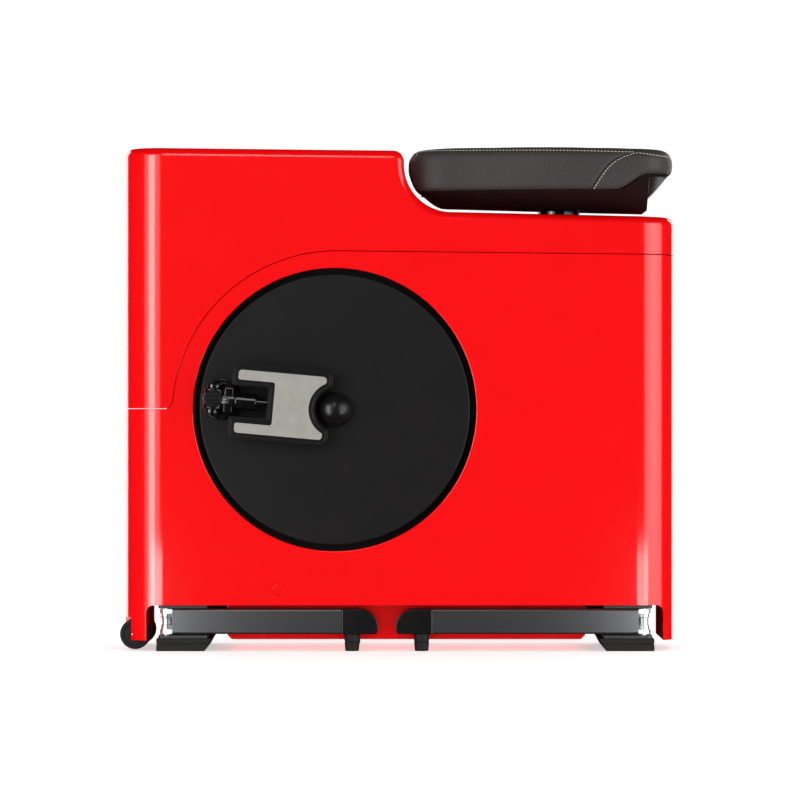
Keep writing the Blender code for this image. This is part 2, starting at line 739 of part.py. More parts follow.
def build_crank_bearings(look):
    for name, side in SIDES:
        a = side * (BEARING_SPREAD - BEARING_WIDTH / 2)
        b = side * (BEARING_SPREAD + BEARING_WIDTH / 2)
        profile = [(BEARING_RADIUS, a), (BEARING_RADIUS, b), (AXLE_RADIUS + GAP, b), (AXLE_RADIUS + GAP, a)]
        mesh_object(f"crank_bearing_{name}", turned(profile, (CRANK, CRANK_HEIGHT), "Y", 24), look)


def build_crank_wells(look):
    for name, side in SIDES:
        opening = DISC_RADIUS + DISC_REVEAL
        floor = side * (HALF_WIDTH - WELL_DEPTH)
        back = floor - side * 0.002
        rim = side * (HALF_WIDTH - WALL - GAP)
        hole = AXLE_RADIUS + 0.004
        profile = [
            (hole, back), (opening + 0.005, back), (opening + 0.005, rim),
            (opening + 0.002, rim), (opening + 0.002, floor), (hole, floor),
        ]
        mesh_object(f"crank_well_{name}", turned(profile, (CRANK, CRANK_HEIGHT), "Y", 48), look)


def groove_profile(radius, middle, width, bore):
    """A belt pulley's half section: flanged, with a flat seat for the belt."""
    half = width / 2
    flange = radius + BELT_THICK + 0.001
    return [
        (bore, middle - half - 0.004), (flange, middle - half - 0.004), (flange, middle - half - 0.001),
        (radius, middle - half - 0.001), (radius, middle + half + 0.001),
        (flange, middle + half + 0.001), (flange, middle + half + 0.004), (bore, middle + half + 0.004),
    ]


def build_crank_axle(look):
    reach = DISC_FACE - DISC_THICK - CRANK_ARM_THICK / 2
    mesh_object("crank_axle", rod(AXLE_RADIUS, -reach, reach, (CRANK, CRANK_HEIGHT), "Y", 24), look)


def build_drive_pulley(look):
    profile = groove_profile(PULLEY_RADIUS, BELT_OFFSET, BELT_WIDTH, AXLE_RADIUS + GAP)
    item = mesh_object("drive_pulley", turned(profile, (CRANK, CRANK_HEIGHT), "Y", 28), look)
    hub = (AXLE_RADIUS + 0.012, PULLEY_RADIUS - 0.014)
    for k in range(5):
        turn = 2 * pi * k / 5
        middle = sum(hub) / 2
        spot = (CRANK + middle * cos(turn), CRANK_HEIGHT + middle * sin(turn))
        carve(item, rod((hub[1] - hub[0]) / 2 * 0.72, 0, BIG, spot, "Y", 12))


def build_flywheel(iron, steel):
    """The flywheel with its hub and small pulley, all one casting."""
    half = FLYWHEEL_WIDTH / 2
    bore = FLYWHEEL_AXLE + GAP
    web = FLYWHEEL_WEB / 2
    rim = FLYWHEEL_RADIUS - FLYWHEEL_RIM
    hub = SMALL_PULLEY_RADIUS - 0.004
    shaft_end = BELT_OFFSET - BELT_WIDTH / 2 - 0.004
    profile = [
        (bore, -half), (hub, -half), (hub, -web), (rim, -web), (rim, -half),
        (FLYWHEEL_RADIUS, -half), (FLYWHEEL_RADIUS, half), (rim, half), (rim, web), (hub, web),
        (hub, half), (FLYWHEEL_AXLE + 0.005, half), (FLYWHEEL_AXLE + 0.005, shaft_end),
    ]
    profile += groove_profile(SMALL_PULLEY_RADIUS, BELT_OFFSET, BELT_WIDTH, bore)[1:]
    mesh_object("flywheel", turned(profile, (FLYWHEEL_X, FLYWHEEL_Z), "Y", 28), iron)
    low, high = -RAIL_WIDTH / 2 - 0.002, fork_far_side() + FORK_THICK
    centre = (FLYWHEEL_X, FLYWHEEL_Z)
    mesh_object("flywheel_axle", rod(FLYWHEEL_AXLE, low, high, centre, "Y", 24), steel)


def belt_outline(grow):
    """An open loop pulled tight round both pulleys, in side view."""
    run = Vector((FLYWHEEL_X - CRANK, FLYWHEEL_Z - CRANK_HEIGHT))
    big, small = PULLEY_RADIUS + grow, SMALL_PULLEY_RADIUS + grow
    lean = asin((big - small) / run.length)
    heading = Vector((1, 0)).angle_signed(run)
    points = []
    open_half = pi / 2 - lean
    for k in range(21):
        turn = -heading + open_half + (2 * pi - 2 * open_half) * k / 20
        points.append((CRANK + big * cos(turn), CRANK_HEIGHT + big * sin(turn)))
    for k in range(9):
        turn = -heading - open_half + 2 * open_half * k / 8
        points.append((FLYWHEEL_X + small * cos(turn), FLYWHEEL_Z + small * sin(turn)))
    return points


def build_belt(look):
    low, high = BELT_OFFSET - BELT_WIDTH / 2, BELT_OFFSET + BELT_WIDTH / 2
    item = mesh_object("drive_belt", prism(belt_outline(2 * GAP + BELT_THICK), low, high), look)
    carve(item, prism(belt_outline(2 * GAP), low - 0.01, high + 0.01))


def yoke_pivot():
    reach = FLYWHEEL_RADIUS + YOKE_PIVOT_OUT
    return (FLYWHEEL_X + reach * cos(YOKE_PIVOT_TURN), FLYWHEEL_Z + reach * sin(YOKE_PIVOT_TURN))


def build_brake(frame_look, steel):
    """A magnet yoke over the flywheel's rim, hinged by the seat tube, and its motor."""
    inner = FLYWHEEL_RADIUS - YOKE_OVERLAP
    rim = FLYWHEEL_RADIUS + YOKE_CLEARANCE
    half = FLYWHEEL_WIDTH / 2 + YOKE_CLEARANCE
    first, last, steps = YOKE_FIRST, YOKE_LAST, 6

    def sector(low, high):
        turns = [first + (last - first) * k / steps for k in range(steps + 1)]
        outline = [(FLYWHEEL_X + high * cos(t), FLYWHEEL_Z + high * sin(t)) for t in turns]
        outline += [(FLYWHEEL_X + low * cos(t), FLYWHEEL_Z + low * sin(t)) for t in turns[::-1]]
        return outline

    cheek = half + YOKE_CHEEK
    item = mesh_object("brake_yoke", prism(sector(inner, rim + YOKE_THICK), -cheek, cheek), frame_look)
    x, z = yoke_pivot()
    turn = first + radians(2)
    near = (FLYWHEEL_X + (rim + 0.003) * cos(turn), FLYWHEEL_Z + (rim + 0.003) * sin(turn))
    away = Vector((near[0] - x, near[1] - z))
    side = Vector((-away.y, away.x)).normalized() * 0.003
    link = [
        (x - side.x, z - side.y), (near[0] - side.x, near[1] - side.y),
        (near[0] + side.x, near[1] + side.y), (x + side.x, z + side.y),
    ]
    fuse(
        item, prism(link, -YOKE_EAR_HALF, YOKE_EAR_HALF),
        rod(YOKE_EAR, -YOKE_EAR_HALF, YOKE_EAR_HALF, (x, z), "Y", 16),
    )
    carve(item, rod(YOKE_PIN + GAP, -BIG, BIG, (x, z), "Y", 12))
    carve(item, turned([(inner - 0.03, -half), (rim, -half), (rim, half), (inner - 0.03, half)],
                       (FLYWHEEL_X, FLYWHEEL_Z), "Y", 36))
    top = FLYWHEEL_Z + FLYWHEEL_RADIUS + MOTOR_OVER_WHEEL
    wide = MOTOR_WIDTH / 2
    back = POST - SEAT_TUBE_RADIUS - 2 * GAP
    motor = mesh_object(
        "brake_motor", block(back - MOTOR_LENGTH, back, -wide, wide, top, top + MOTOR_HEIGHT), steel
    )
    fuse(motor, rod(MOTOR_RADIUS, top + MOTOR_HEIGHT / 2, top + MOTOR_TOP, (back - MOTOR_SHIFT, 0), "Z", 16))


# ---- crank and pedals, in the frame of one side: x from the axis to the boss, z outwards ----
def crank_frame(side):
    out = Vector((0, side, 0))
    reach = Vector((side * cos(CRANK_TILT), 0, -side * sin(CRANK_TILT)))
    across = out.cross(reach)
    matrix = Matrix((reach, across, out)).transposed().to_4x4()
    matrix.translation = Vector((CRANK, side * DISC_FACE, CRANK_HEIGHT))
    return matrix


def build_crank_disc(name, look, parent):
    edge = 0.0012
    profile = [
        (0, -DISC_THICK), (DISC_RADIUS, -DISC_THICK), (DISC_RADIUS, -edge),
        (DISC_RADIUS - edge, 0), (0, 0),
    ]
    item = mesh_object(f"crank_disc_{name}", turned(profile, (0, 0), "Z", 64), look, parent)
    carve(item, rod(BOSS_RADIUS + GAP, -BIG, BIG, (BOSS_REACH, 0), "Z", 28))


def build_hub_ball(name, look, parent):
    base = GAP
    steps = 5
    profile = [(0, base)]
    for k in range(steps):
        turn = pi / 2 * k / steps
        profile.append((BALL_RADIUS * cos(turn), base + 0.002 + BALL_RADIUS * sin(turn)))
    profile.insert(1, (BALL_RADIUS, base))
    profile.append((0, base + 0.002 + BALL_RADIUS))
    mesh_object(f"hub_ball_{name}", turned(profile, (0, 0), "Z", 20), look, parent)


def build_crank_arm(name, look, parent):
    """The arm behind the disc, with the boss and fork that come through it."""
    top = -DISC_THICK - GAP
    bottom = top - CRANK_ARM_THICK
    item = mesh_object(
        f"crank_arm_{name}", rod(BOSS_RADIUS, bottom, BOSS_PROUD, (BOSS_REACH, 0), "Z", 28), look, parent
    )
    inner = KNUCKLE_WIDTH / 2 + GAP
    outer = inner + EAR_THICK
    ears = []
    turns = [pi * k / 10 for k in range(11)]
    outline = [(CRANK_REACH + EAR_RADIUS * cos(t), PEDAL_LIFT + EAR_RADIUS * sin(t)) for t in turns]
    outline += [(CRANK_REACH - EAR_RADIUS, 0), (CRANK_REACH + EAR_RADIUS, 0)]
    for y0, y1 in ((-outer, -inner), (inner, outer)):
        ears.append(prism(outline, y0, y1, "Y"))
    wide = CRANK_ARM_WIDTH / 2
    round_end = wide * 0.95
    bar = rounded([
        (-wide, -wide, round_end), (BOSS_REACH, -wide, 0), (BOSS_REACH, wide, 0), (-wide, wide, round_end),
    ], 6)
    fuse(item, prism(bar, bottom + GAP, top - GAP, "Z"), *ears)
    carve(
        item,
        rod(AXLE_RADIUS + GAP, -BIG, top + 0.01, (0, 0), "Z", 24),
        rod(PIN_HOLE, -BIG, BIG, (CRANK_REACH, PEDAL_LIFT), "Y", 12),
    )


def build_spindle(name, look, parent):
    """Knuckle, collar, barrel and the thin spindle that the platform turns on."""
    half = KNUCKLE_WIDTH / 2
    item = mesh_object(
        f"pedal_spindle_{name}", rod(KNUCKLE_RADIUS, -half, half, (0, 0), "Y", 20), look, parent
    )
    collar = -COLLAR_START
    barrel_end = collar - BARREL_LENGTH
    stub_end = barrel_end - STUB_LENGTH
    tall = COLLAR_HEIGHT / 2
    wide = COLLAR_WIDTH / 2
    fuse(
        item,
        block(collar - COLLAR_LENGTH, collar, -wide, wide, -tall, tall),
        turned(
            [
                (0, -0.004), (BARREL_RADIUS, -0.004), (BARREL_RADIUS, barrel_end + 0.001),
                (BARREL_RADIUS - 0.001, barrel_end), (STUB_RADIUS, barrel_end),
                (STUB_RADIUS, stub_end), (SPINDLE_RADIUS, stub_end),
                (SPINDLE_RADIUS, stub_end - SPINDLE_LENGTH), (0, stub_end - SPINDLE_LENGTH),
            ],
            (0, 0), "X", 16,
        ),
    )
    pocket = KNUCKLE_RADIUS - CAP_POCKET
    carve(
        item,
        rod(CAP_RADIUS + GAP, pocket, BIG, (0, 0), "Z", 20),
        rod(FOLD_PIN, -BIG, BIG, (0, 0), "Y", 12),
    )


def build_release_cap(name, look, parent):
    """A round button with flutes across it, held in the knuckle."""
    low = KNUCKLE_RADIUS - CAP_POCKET + GAP + CAP_TRAVEL
    high = KNUCKLE_RADIUS + CAP_PROUD
    flute = CAP_FLUTE / 2
    item = mesh_object(f"release_cap_{name}", rod(CAP_RADIUS, low, high, (0, 0), "Z", 20), look, parent)
    for k in (-1.5, -0.5, 0.5, 1.5):
        y = k * CAP_PITCH
        carve(item, block(-BIG, BIG, y - flute, y + flute, high - flute, BIG))


def platform_outline(inset):
    """The platform in plan about the fold pin: slot towards the boss, round notch at the hub."""
    near = -PEDAL_START - inset
    far = near - PEDAL_LENGTH + 2 * inset
    half = PEDAL_WIDTH / 2 - inset
    slot = SLOT_WIDTH / 2 + inset
    slot_end = -SLOT_END - inset
    radius = NOTCH_RADIUS + inset
    hub = -CRANK_REACH - NOTCH_SHIFT
    spread = NOTCH_SPREAD
    corner = PEDAL_CORNER - inset * 0.85
    reach = (hub + radius * cos(spread) - far) / sin(spread)
    tip = radius * sin(spread) + reach * cos(spread)
    horn = min(HORN_RADIUS - inset * 0.6, reach)
    notch = []
    for k in range(7):
        turn = spread - 2 * spread * k / 6
        notch.append((hub + radius * cos(turn), radius * sin(turn), 0))
    corners = [(near, slot, 0.003), (near, half, corner), (far, half, corner), (far, tip, horn)]
    corners += notch
    corners += [(far, -tip, horn), (far, -half, corner), (near, -half, corner), (near, -slot, 0.003)]
    corners += [(slot_end, -slot, 0.004), (slot_end, slot, 0.004)]
    return rounded(corners, 3)


def build_platform(name, black, grey, parent):
    half = PEDAL_THICK / 2
    item = mesh_object(
        f"pedal_frame_{name}", prism(platform_outline(0), -half, half, "Z"), black, parent
    )
    stub_end = -COLLAR_START - BARREL_LENGTH - STUB_LENGTH
    bore_end = stub_end - SPINDLE_LENGTH - 0.002
    carve(
        item,
        prism(platform_outline(TREAD_INSET), half - TREAD_DEPTH, BIG, "Z"),
        rod(SPINDLE_RADIUS + GAP, bore_end, -0.05, (0, 0), "X", 20),
        rod(STUB_RADIUS + GAP, stub_end - GAP, -0.05, (0, 0), "X", 20),
    )
    low = half - TREAD_DEPTH + GAP
    outline = platform_outline(TREAD_INSET + GAP)
    mesh_object(f"pedal_tread_{name}", prism(outline, low, low + TREAD_THICK, "Z"), grey, parent)


def build_crank_side(name, side, looks):
    frame = empty(f"crank_side_{name}", crank_frame(side))
    pin = Matrix.Translation((CRANK_REACH, 0, PEDAL_LIFT))
    pedal = empty(f"pedal_hinge_{name}", frame.matrix_world @ pin)
    build_crank_disc(name, looks["black"], frame)
    build_hub_ball(name, looks["black"], frame)
    build_crank_arm(name, looks["gloss"], frame)
    build_spindle(name, looks["gloss"], pedal)
    build_release_cap(name, looks["black"], pedal)
    build_platform(name, looks["black"], looks["grey"], pedal)


# ---- stabiliser arms, in the frame of their pin: x along the arm, z from the floor ----
def arm_length(end):
    pin = PIN_FRONT if end == "front" else PIN_REAR
    return abs(ARM_MEET - pin) - ARM_SPLIT / 2


def build_arm(end, name, side, looks):
    """One arm with its end cap and rubber foot, straight out from its hinge pin."""
    heading = 1 if end == "front" else -1
    pin = PIN_FRONT if end == "front" else PIN_REAR
    matrix = Matrix.Translation((pin, side * ARM_Y, 0))
    if heading < 0:
        matrix = matrix @ Matrix.Rotation(pi, 4, "Z")
    frame = empty(f"arm_pivot_{end}_{name}", matrix)
    tip = arm_length(end)
    tube_end = tip - CAP_LENGTH
    low, high = ARM_BOTTOM, ARM_BOTTOM + ARM_HEIGHT
    half = ARM_THICK / 2
    tube = mesh_object(
        f"arm_{end}_{name}", block(HINGE_REACH, tube_end, -half, half, low, high), looks["graphite"], frame
    )
    for z0 in (low, high - TAB_THICK):
        tongue = rounded(
            [(-TAB_RADIUS, -TAB_RADIUS, TAB_RADIUS * 0.98), (TAB_REACH, -TAB_RADIUS, 0),
             (TAB_REACH, TAB_RADIUS, 0), (-TAB_RADIUS, TAB_RADIUS, TAB_RADIUS * 0.98)], 5)
        fuse(tube, prism(tongue, z0, z0 + TAB_THICK, "Z"))
    wall = ARM_WALL
    carve(
        tube,
        block(HINGE_REACH + 0.012, BIG, -half + wall, half - wall, low + wall, high - wall),
        rod(PIN_RADIUS + GAP, -BIG, BIG, (0, 0), "Z", 20),
    )
    build_arm_cap(end, name, tip, looks["black"], frame)
    place = (tip - FOOT_FROM_TIP, 0)
    profile = [(0, 0), (FOOT_RADIUS - 0.0018, 0), (FOOT_RADIUS - 0.0008, 0.001)]
    profile += [(FOOT_RADIUS, low - GAP), (0, low - GAP)]
    mesh_object(f"arm_foot_{end}_{name}", turned(profile, place, "Z", 20), looks["rubber"], frame)


def build_arm_cap(end, name, tip, look, frame):
    """Cap whose top sweeps down to the tip, with a plug inside the tube."""
    low, high = ARM_BOTTOM, ARM_BOTTOM + ARM_HEIGHT
    half = ARM_THICK / 2
    start = tip - CAP_LENGTH + GAP
    outline = [(start, low), (start, high)]
    for k in range(9):
        turn = pi / 2 * k / 8
        along, drop = CAP_SWEEP * sin(turn), CAP_DROP * (1 - cos(turn))
        outline.append((tip - CAP_SWEEP + along, high - drop))
    toe_top = high - CAP_DROP
    for k in range(1, 4):
        turn = pi / 2 * k / 3
        outline.append((tip - CAP_TOE * (1 - cos(turn)), low + (toe_top - low) * (1 - sin(turn))))
    cap = mesh_object(f"arm_cap_{end}_{name}", prism(outline, -half, half), look, frame)
    wall = ARM_WALL + GAP
    plug = block(start - CAP_PLUG, start + 0.004, -half + wall, half - wall, low + wall, high - wall)
    fuse(cap, plug)


def build_hinge(end, looks):
    """Plates above and below the arms, joined between them, with a pin on each side."""
    heading = 1 if end == "front" else -1
    pin = PIN_FRONT if end == "front" else PIN_REAR
    cross = ARM_Y + TAB_RADIUS + 0.002
    web = ARM_Y - ARM_THICK / 2 - 0.008
    top = BAY_HEIGHT - GAP
    arm_top = ARM_BOTTOM + ARM_HEIGHT
    low0, low1 = PAD_HEIGHT + GAP, ARM_BOTTOM - 0.002

    def span(a, b):
        return sorted((pin + heading * a, pin + heading * b))

    x0, x1 = span(-BRACKET_PAST_PIN, BRACKET_LENGTH - BRACKET_PAST_PIN)
    w0, w1 = span(-BRACKET_PAST_PIN + 0.001, BRACKET_LENGTH - BRACKET_PAST_PIN - 0.006)
    item = mesh_object(
        f"hinge_bracket_{end}", block(x0, x1, -cross, cross, arm_top + 0.001, top), looks["frame"]
    )
    fuse(
        item,
        block(x0, x1, -cross, cross, low0, low1),
        block(w0, w1, -web, web, low0 + 0.001, top - 0.001),
    )
    carve(item, *[rod(PIN_RADIUS + GAP, -BIG, BIG, (pin, side * ARM_Y), "Z", 20) for _, side in SIDES])
    for name, side in SIDES:
        place = (pin, side * ARM_Y)
        mesh_object(f"hinge_pin_{end}_{name}", rod(PIN_RADIUS, low0, top, place, "Z", 20), looks["steel"])
    p0, p1 = span(-PAD_PAST_PIN, PAD_LENGTH - PAD_PAST_PIN)
    inner = p1 if heading > 0 else p0
    outline = [(p0, 0), (p1, 0), (p1, PAD_HEIGHT), (p0, PAD_HEIGHT)]
    outline = [(x - (heading * PAD_SLANT if x == inner and z == 0 else 0), z) for x, z in outline]
    mesh_object(f"foot_pad_{end}", prism(outline, -cross, cross), looks["rubber"])


# ---- transport wheels ----
def build_wheels(rubber, steel):
    for name, side in SIDES:
        middle = side * WHEEL_SPREAD
        half = WHEEL_WIDTH / 2
        profile = [
            (WHEEL_AXLE + GAP, middle - half), (WHEEL_RADIUS - 0.003, middle - half),
            (WHEEL_RADIUS, middle - half + 0.003), (WHEEL_RADIUS, middle + half - 0.003),
            (WHEEL_RADIUS - 0.003, middle + half), (WHEEL_AXLE + GAP, middle + half),
        ]
        mesh_object(f"transport_wheel_{name}", turned(profile, (WHEEL_X, WHEEL_Z), "Y", 24), rubber)
    reach = WHEEL_AXLE_REACH - GAP
    mesh_object("wheel_axle", rod(WHEEL_AXLE, -reach, reach, (WHEEL_X, WHEEL_Z), "Y", 12), steel)


# ---- saddle ----
def seat_span():
    return STEP + SEAT_CLEARANCE, REAR - 0.0015


def seat_half_width(share):
    """Half width along the saddle: a broad nose that widens towards the rear."""
    nose, full = NOSE_WIDTH / 2, SEAT_WIDTH / 2
    swell = nose + (full - nose) * (0.5 - 0.5 * cos(pi * min(1.0, share / 0.72)))
    front = sqrt(max(0.0, 1 - (1 - min(1.0, share / 0.14)) ** 2))
    rear = sqrt(max(0.0, 1 - max(0.0, (share - 0.86) / 0.14) ** 2.4))
    return swell * (0.35 + 0.65 * front) * (0.55 + 0.45 * rear)


def seat_belly(share):
    """Lower edge of the leather: up at the nose, level, then swept up to the tail."""
    rise = min(1.0, max(0.0, (share - 0.78) / 0.12))
    lift = 0.5 - 0.5 * cos(pi * rise)
    nose = max(0.0, 1 - share / 0.055)
    return SEAT_BELLY + TAIL_LIFT * lift + NOSE_LIFT * nose ** 2.2


def seat_crown(share):
    """Top of the leather: a slight camber, rounded down at the nose and at the tail."""
    camber = 0.003 * max(0.0, 1 - share / 0.25) ** 2 + 0.005 * max(0.0, (share - 0.25) / 0.75) ** 2
    nose = max(0.0, 1 - share / 0.035)
    tail = max(0.0, (share - 0.955) / 0.045)
    return SEAT_TOP - camber - 0.013 * nose ** 2 - 0.009 * tail ** 2


def ring_at(x, half, low, high, round_top, sides=6):
    """One upright section: flat below, rounded at the top edges."""
    r = min(round_top, (high - low) * 0.48, half * 0.9)
    b = min(0.004, r)
    points = []
    for turn, centre, size in (
        (0, (half - b, low + b), b), (1, (half - r, high - r), r),
        (2, (-half + r, high - r), r), (3, (-half + b, low + b), b),
    ):
        for k in range(sides + 1):
            angle = -pi / 2 + turn * pi / 2 + pi / 2 * k / sides
            points.append((x, centre[0] + size * cos(angle), centre[1] + size * sin(angle)))
    return points


def build_cushion(look):
    x0, x1 = seat_span()
    rings = []
    for share in SEAT_STATIONS:
        x = x0 + (x1 - x0) * share
        half = seat_half_width(share)
        rings.append(ring_at(x, half, seat_belly(share), seat_crown(share), SEAT_ROUND, 4))
    mesh_object("seat_cushion", skin(rings), look)


def build_pan(look):
    """The hard pan under the leather: narrower below, bowed at the front, stepped and swept up at the tail."""
    x0, x1 = seat_span()
    rings = []
    for share in [s for s in SEAT_STATIONS if PAN_FIRST <= s <= PAN_LAST]:
        x = x0 + (x1 - x0) * share
        top = seat_belly(share) - GAP
        front = max(0.0, 1 - (share - PAN_FIRST) / PAN_BOW_SHARE)
        low = deck_height(x, -PAN_LIFT) + PAN_BOW * front ** 1.6
        if share > PAN_STEP:
            low += PAN_TAIL_STEP + PAN_TAIL_SWEEP * ((share - PAN_STEP) / (PAN_LAST - PAN_STEP)) ** 1.2
        low = min(low, top - PAN_LEAST)
        half = (seat_half_width(share) - PAN_INSET) * (1 - 0.10 * front)
        ring = ring_at(x, half, low, top, PAN_LEAST, 2)
        rings.append([(a, b * (PAN_TAPER + (1 - PAN_TAPER) * (c - low) / (top - low)), c) for a, b, c in ring])
    mesh_object("seat_pan", skin(rings), look)


def build_post(look):
    low, high = seat_post_bottom(), seat_post_top()
    bore = POST_RADIUS - POST_WALL
    head = high - POST_HEAD
    profile = [(0, high), (POST_RADIUS, high), (POST_RADIUS, low), (bore, low), (bore, head), (0, head)]
    mesh_object("seat_post", turned(profile, (POST, 0), "Z", 32), look)


def build_bike():
    clear_scene()
    looks = build_looks()
    cavity = build_cavity()
    build_upper_casing(looks["red"], cavity)
    build_lower_casings(looks["red"], cavity)
    build_base_tub(looks["red"])
    build_grip_cup(looks["grey"])
    build_screw_caps(looks["red"])
    build_frame(looks["frame"])
    build_seat_guide(looks["black"])
    build_crank_bearings(looks["steel"])
    build_crank_wells(looks["black"])
    build_crank_axle(looks["steel"])
    build_drive_pulley(looks["black"])
    build_flywheel(looks["iron"], looks["steel"])
    build_belt(looks["rubber"])
    build_brake(looks["frame"], looks["black"])
    for name, side in SIDES:
        build_crank_side(name, side, looks)
        for end in ("front", "rear"):
            build_arm(end, name, side, looks)
    for end in ("front", "rear"):
        build_hinge(end, looks)
    build_wheels(looks["rubber"], looks["steel"])
    build_cushion(looks["leather"])
    build_pan(looks["black"])
    build_post(looks["gloss"])


build_bike()
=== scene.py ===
import json
from math import asin, atan, cos, exp, pi, radians, sin, sqrt, tan

import bmesh
import bpy
from mathutils import Matrix, Vector
from mathutils.bvhtree import BVHTree


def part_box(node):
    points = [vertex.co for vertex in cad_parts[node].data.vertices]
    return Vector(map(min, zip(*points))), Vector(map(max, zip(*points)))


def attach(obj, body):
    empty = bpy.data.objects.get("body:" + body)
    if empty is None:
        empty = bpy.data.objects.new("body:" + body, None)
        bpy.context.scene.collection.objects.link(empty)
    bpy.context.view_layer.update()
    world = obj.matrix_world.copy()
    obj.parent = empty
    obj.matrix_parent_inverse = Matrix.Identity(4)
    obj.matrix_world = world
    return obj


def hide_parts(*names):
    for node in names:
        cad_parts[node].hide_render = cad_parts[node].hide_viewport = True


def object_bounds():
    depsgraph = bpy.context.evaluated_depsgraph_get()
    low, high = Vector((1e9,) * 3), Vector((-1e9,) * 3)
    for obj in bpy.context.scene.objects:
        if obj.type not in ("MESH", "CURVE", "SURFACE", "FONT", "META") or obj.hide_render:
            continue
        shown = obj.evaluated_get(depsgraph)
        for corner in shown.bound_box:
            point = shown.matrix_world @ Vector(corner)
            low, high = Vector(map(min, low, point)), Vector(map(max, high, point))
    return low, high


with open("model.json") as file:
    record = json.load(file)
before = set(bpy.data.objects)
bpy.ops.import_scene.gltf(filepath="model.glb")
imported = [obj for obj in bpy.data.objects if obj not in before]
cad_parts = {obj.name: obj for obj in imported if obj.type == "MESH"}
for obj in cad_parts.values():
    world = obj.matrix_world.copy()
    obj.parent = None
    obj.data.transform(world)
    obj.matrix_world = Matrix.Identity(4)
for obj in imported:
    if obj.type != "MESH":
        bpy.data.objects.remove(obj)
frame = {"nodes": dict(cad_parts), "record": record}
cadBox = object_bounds()
print("frame loaded,", len(frame["nodes"]), "nodes")

sides = (("left", -1), ("right", 1))
gap = 0.0003    # between pieces that touch
far = 1.5       # longer than the whole machine

# places and sizes that the frame gives
upperLow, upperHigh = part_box("upper_casing")
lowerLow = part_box("lower_casing_left")[0]
discLow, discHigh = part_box("crank_disc_left")
postLow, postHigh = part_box("seat_post")
wheelLow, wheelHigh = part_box("transport_wheel_right")
crank = {"x": (discLow.x + discHigh.x) / 2, "z": (discLow.z + discHigh.z) / 2}

body = {
    "front": upperLow.x, "rear": upperHigh.x, "halfWidth": upperHigh.y,
    "height": upperHigh.z + 0.00014,    # the top's slope starts a little before its rounded edge
    "foot": lowerLow.z, "wall": 0.003,
    "cornerRadius": 0.057, "edgeRadius": 0.012, "topSlope": 0.0112,
    "step": upperLow.x + 0.3946, "stepRadius": 0.015, "sweepRadius": 0.067,
    "deck": 0.6196, "deckSlope": 0.0225,
    "frontPost": 0.032, "rearPost": 0.0175, "bayHeight": 0.065, "bayRadius": 0.011,
    "seamRear": 0.556, "seamCrest": 0.563, "seamFront": 0.341, "seamRadius": 0.2317,
    "seamShift": 0.0032, "seamFillet": 0.014, "seamGap": 0.001, "seamLip": 0.0006,
    "opening": 0.199, "openingLip": 0.0015,
}


# meshes

def skin(rings, closed=True):
    bm = bmesh.new()
    rows = [[bm.verts.new(point) for point in ring] for ring in rings]
    count = len(rows[0])
    for row, following in zip(rows, rows[1:]):
        for k in range(count):
            n = (k + 1) % count
            bm.faces.new((row[k], row[n], following[n], following[k]))
    if closed:
        bm.faces.new(rows[0])
        bm.faces.new(rows[-1])
    return bm


def prism(outline, low, high, along="Y"):
    swap = {
        "X": lambda a, b, c: (c, a, b), "Y": lambda a, b, c: (a, c, b), "Z": lambda a, b, c: (a, b, c),
    }[along]
    return skin([[swap(a, b, c) for a, b in outline] for c in (low, high)])


def block(x0, x1, y0, y1, z0, z1):
    return prism(((x0, y0), (x1, y0), (x1, y1), (x0, y1)), z0, z1, "Z")


def circle(radius, count=64, centre=(0.0, 0.0)):
    turns = (2 * pi * k / count for k in range(count))
    return [(centre[0] + radius * cos(t), centre[1] + radius * sin(t)) for t in turns]


def rod(radius, low, high, centre=(0, 0), along="Y", count=64):
    return prism(circle(radius, count, centre), low, high, along)


# a turned solid from a closed list of (radius, place along the axis)
def turned(profile, centre=(0, 0), along="Y", count=96):
    swap = {
        "X": lambda a, b, c: (c, centre[0] + a, centre[1] + b),
        "Y": lambda a, b, c: (centre[0] + a, c, centre[1] + b),
        "Z": lambda a, b, c: (centre[0] + a, centre[1] + b, c),
    }[along]
    bm = bmesh.new()
    rings = []
    for radius, spot in profile:
        points = circle(radius, count) if radius > 0 else [(0, 0)]
        rings.append([bm.verts.new(swap(a, b, spot)) for a, b in points])
    pairs = list(zip(rings, rings[1:]))
    if profile[0][0] > 0:
        pairs.append((rings[-1], rings[0]))
    for near, away in pairs:
        for k in range(count):
            n = (k + 1) % count
            if len(near) == 1:
                bm.faces.new((near[0], away[n], away[k]))
            elif len(away) == 1:
                bm.faces.new((near[k], near[n], away[0]))
            else:
                bm.faces.new((near[k], near[n], away[n], away[k]))
    return bm


# a closed outline from (x, y, radius) corners
def rounded(corners, steps=8):
    outline = []
    for k, (x, y, radius) in enumerate(corners):
        here = Vector((x, y))
        if radius <= 0:
            outline.append((x, y))
            continue
        before = (Vector(corners[k - 1][:2]) - here).normalized()
        after = (Vector(corners[(k + 1) % len(corners)][:2]) - here).normalized()
        half = before.angle(after) / 2
        centre = here + (before + after).normalized() * (radius / sin(half))
        start = here + before * (radius / tan(half)) - centre
        turn = start.angle_signed(here + after * (radius / tan(half)) - centre)
        for step in range(steps + 1):
            outline.append(tuple(centre + Matrix.Rotation(-turn * step / steps, 2) @ start))
    return outline


# a rectangle between two corners, all four rounded alike
def softRectangle(x0, y0, x1, y1, radius, steps=8):
    return rounded([(x0, y0, radius), (x1, y0, radius), (x1, y1, radius), (x0, y1, radius)], steps)


# rounded corners of a turned profile: (radius, place, round)
def softProfile(corners, steps=5):
    return [(max(0.0, x), y) for x, y in rounded(corners, steps)]


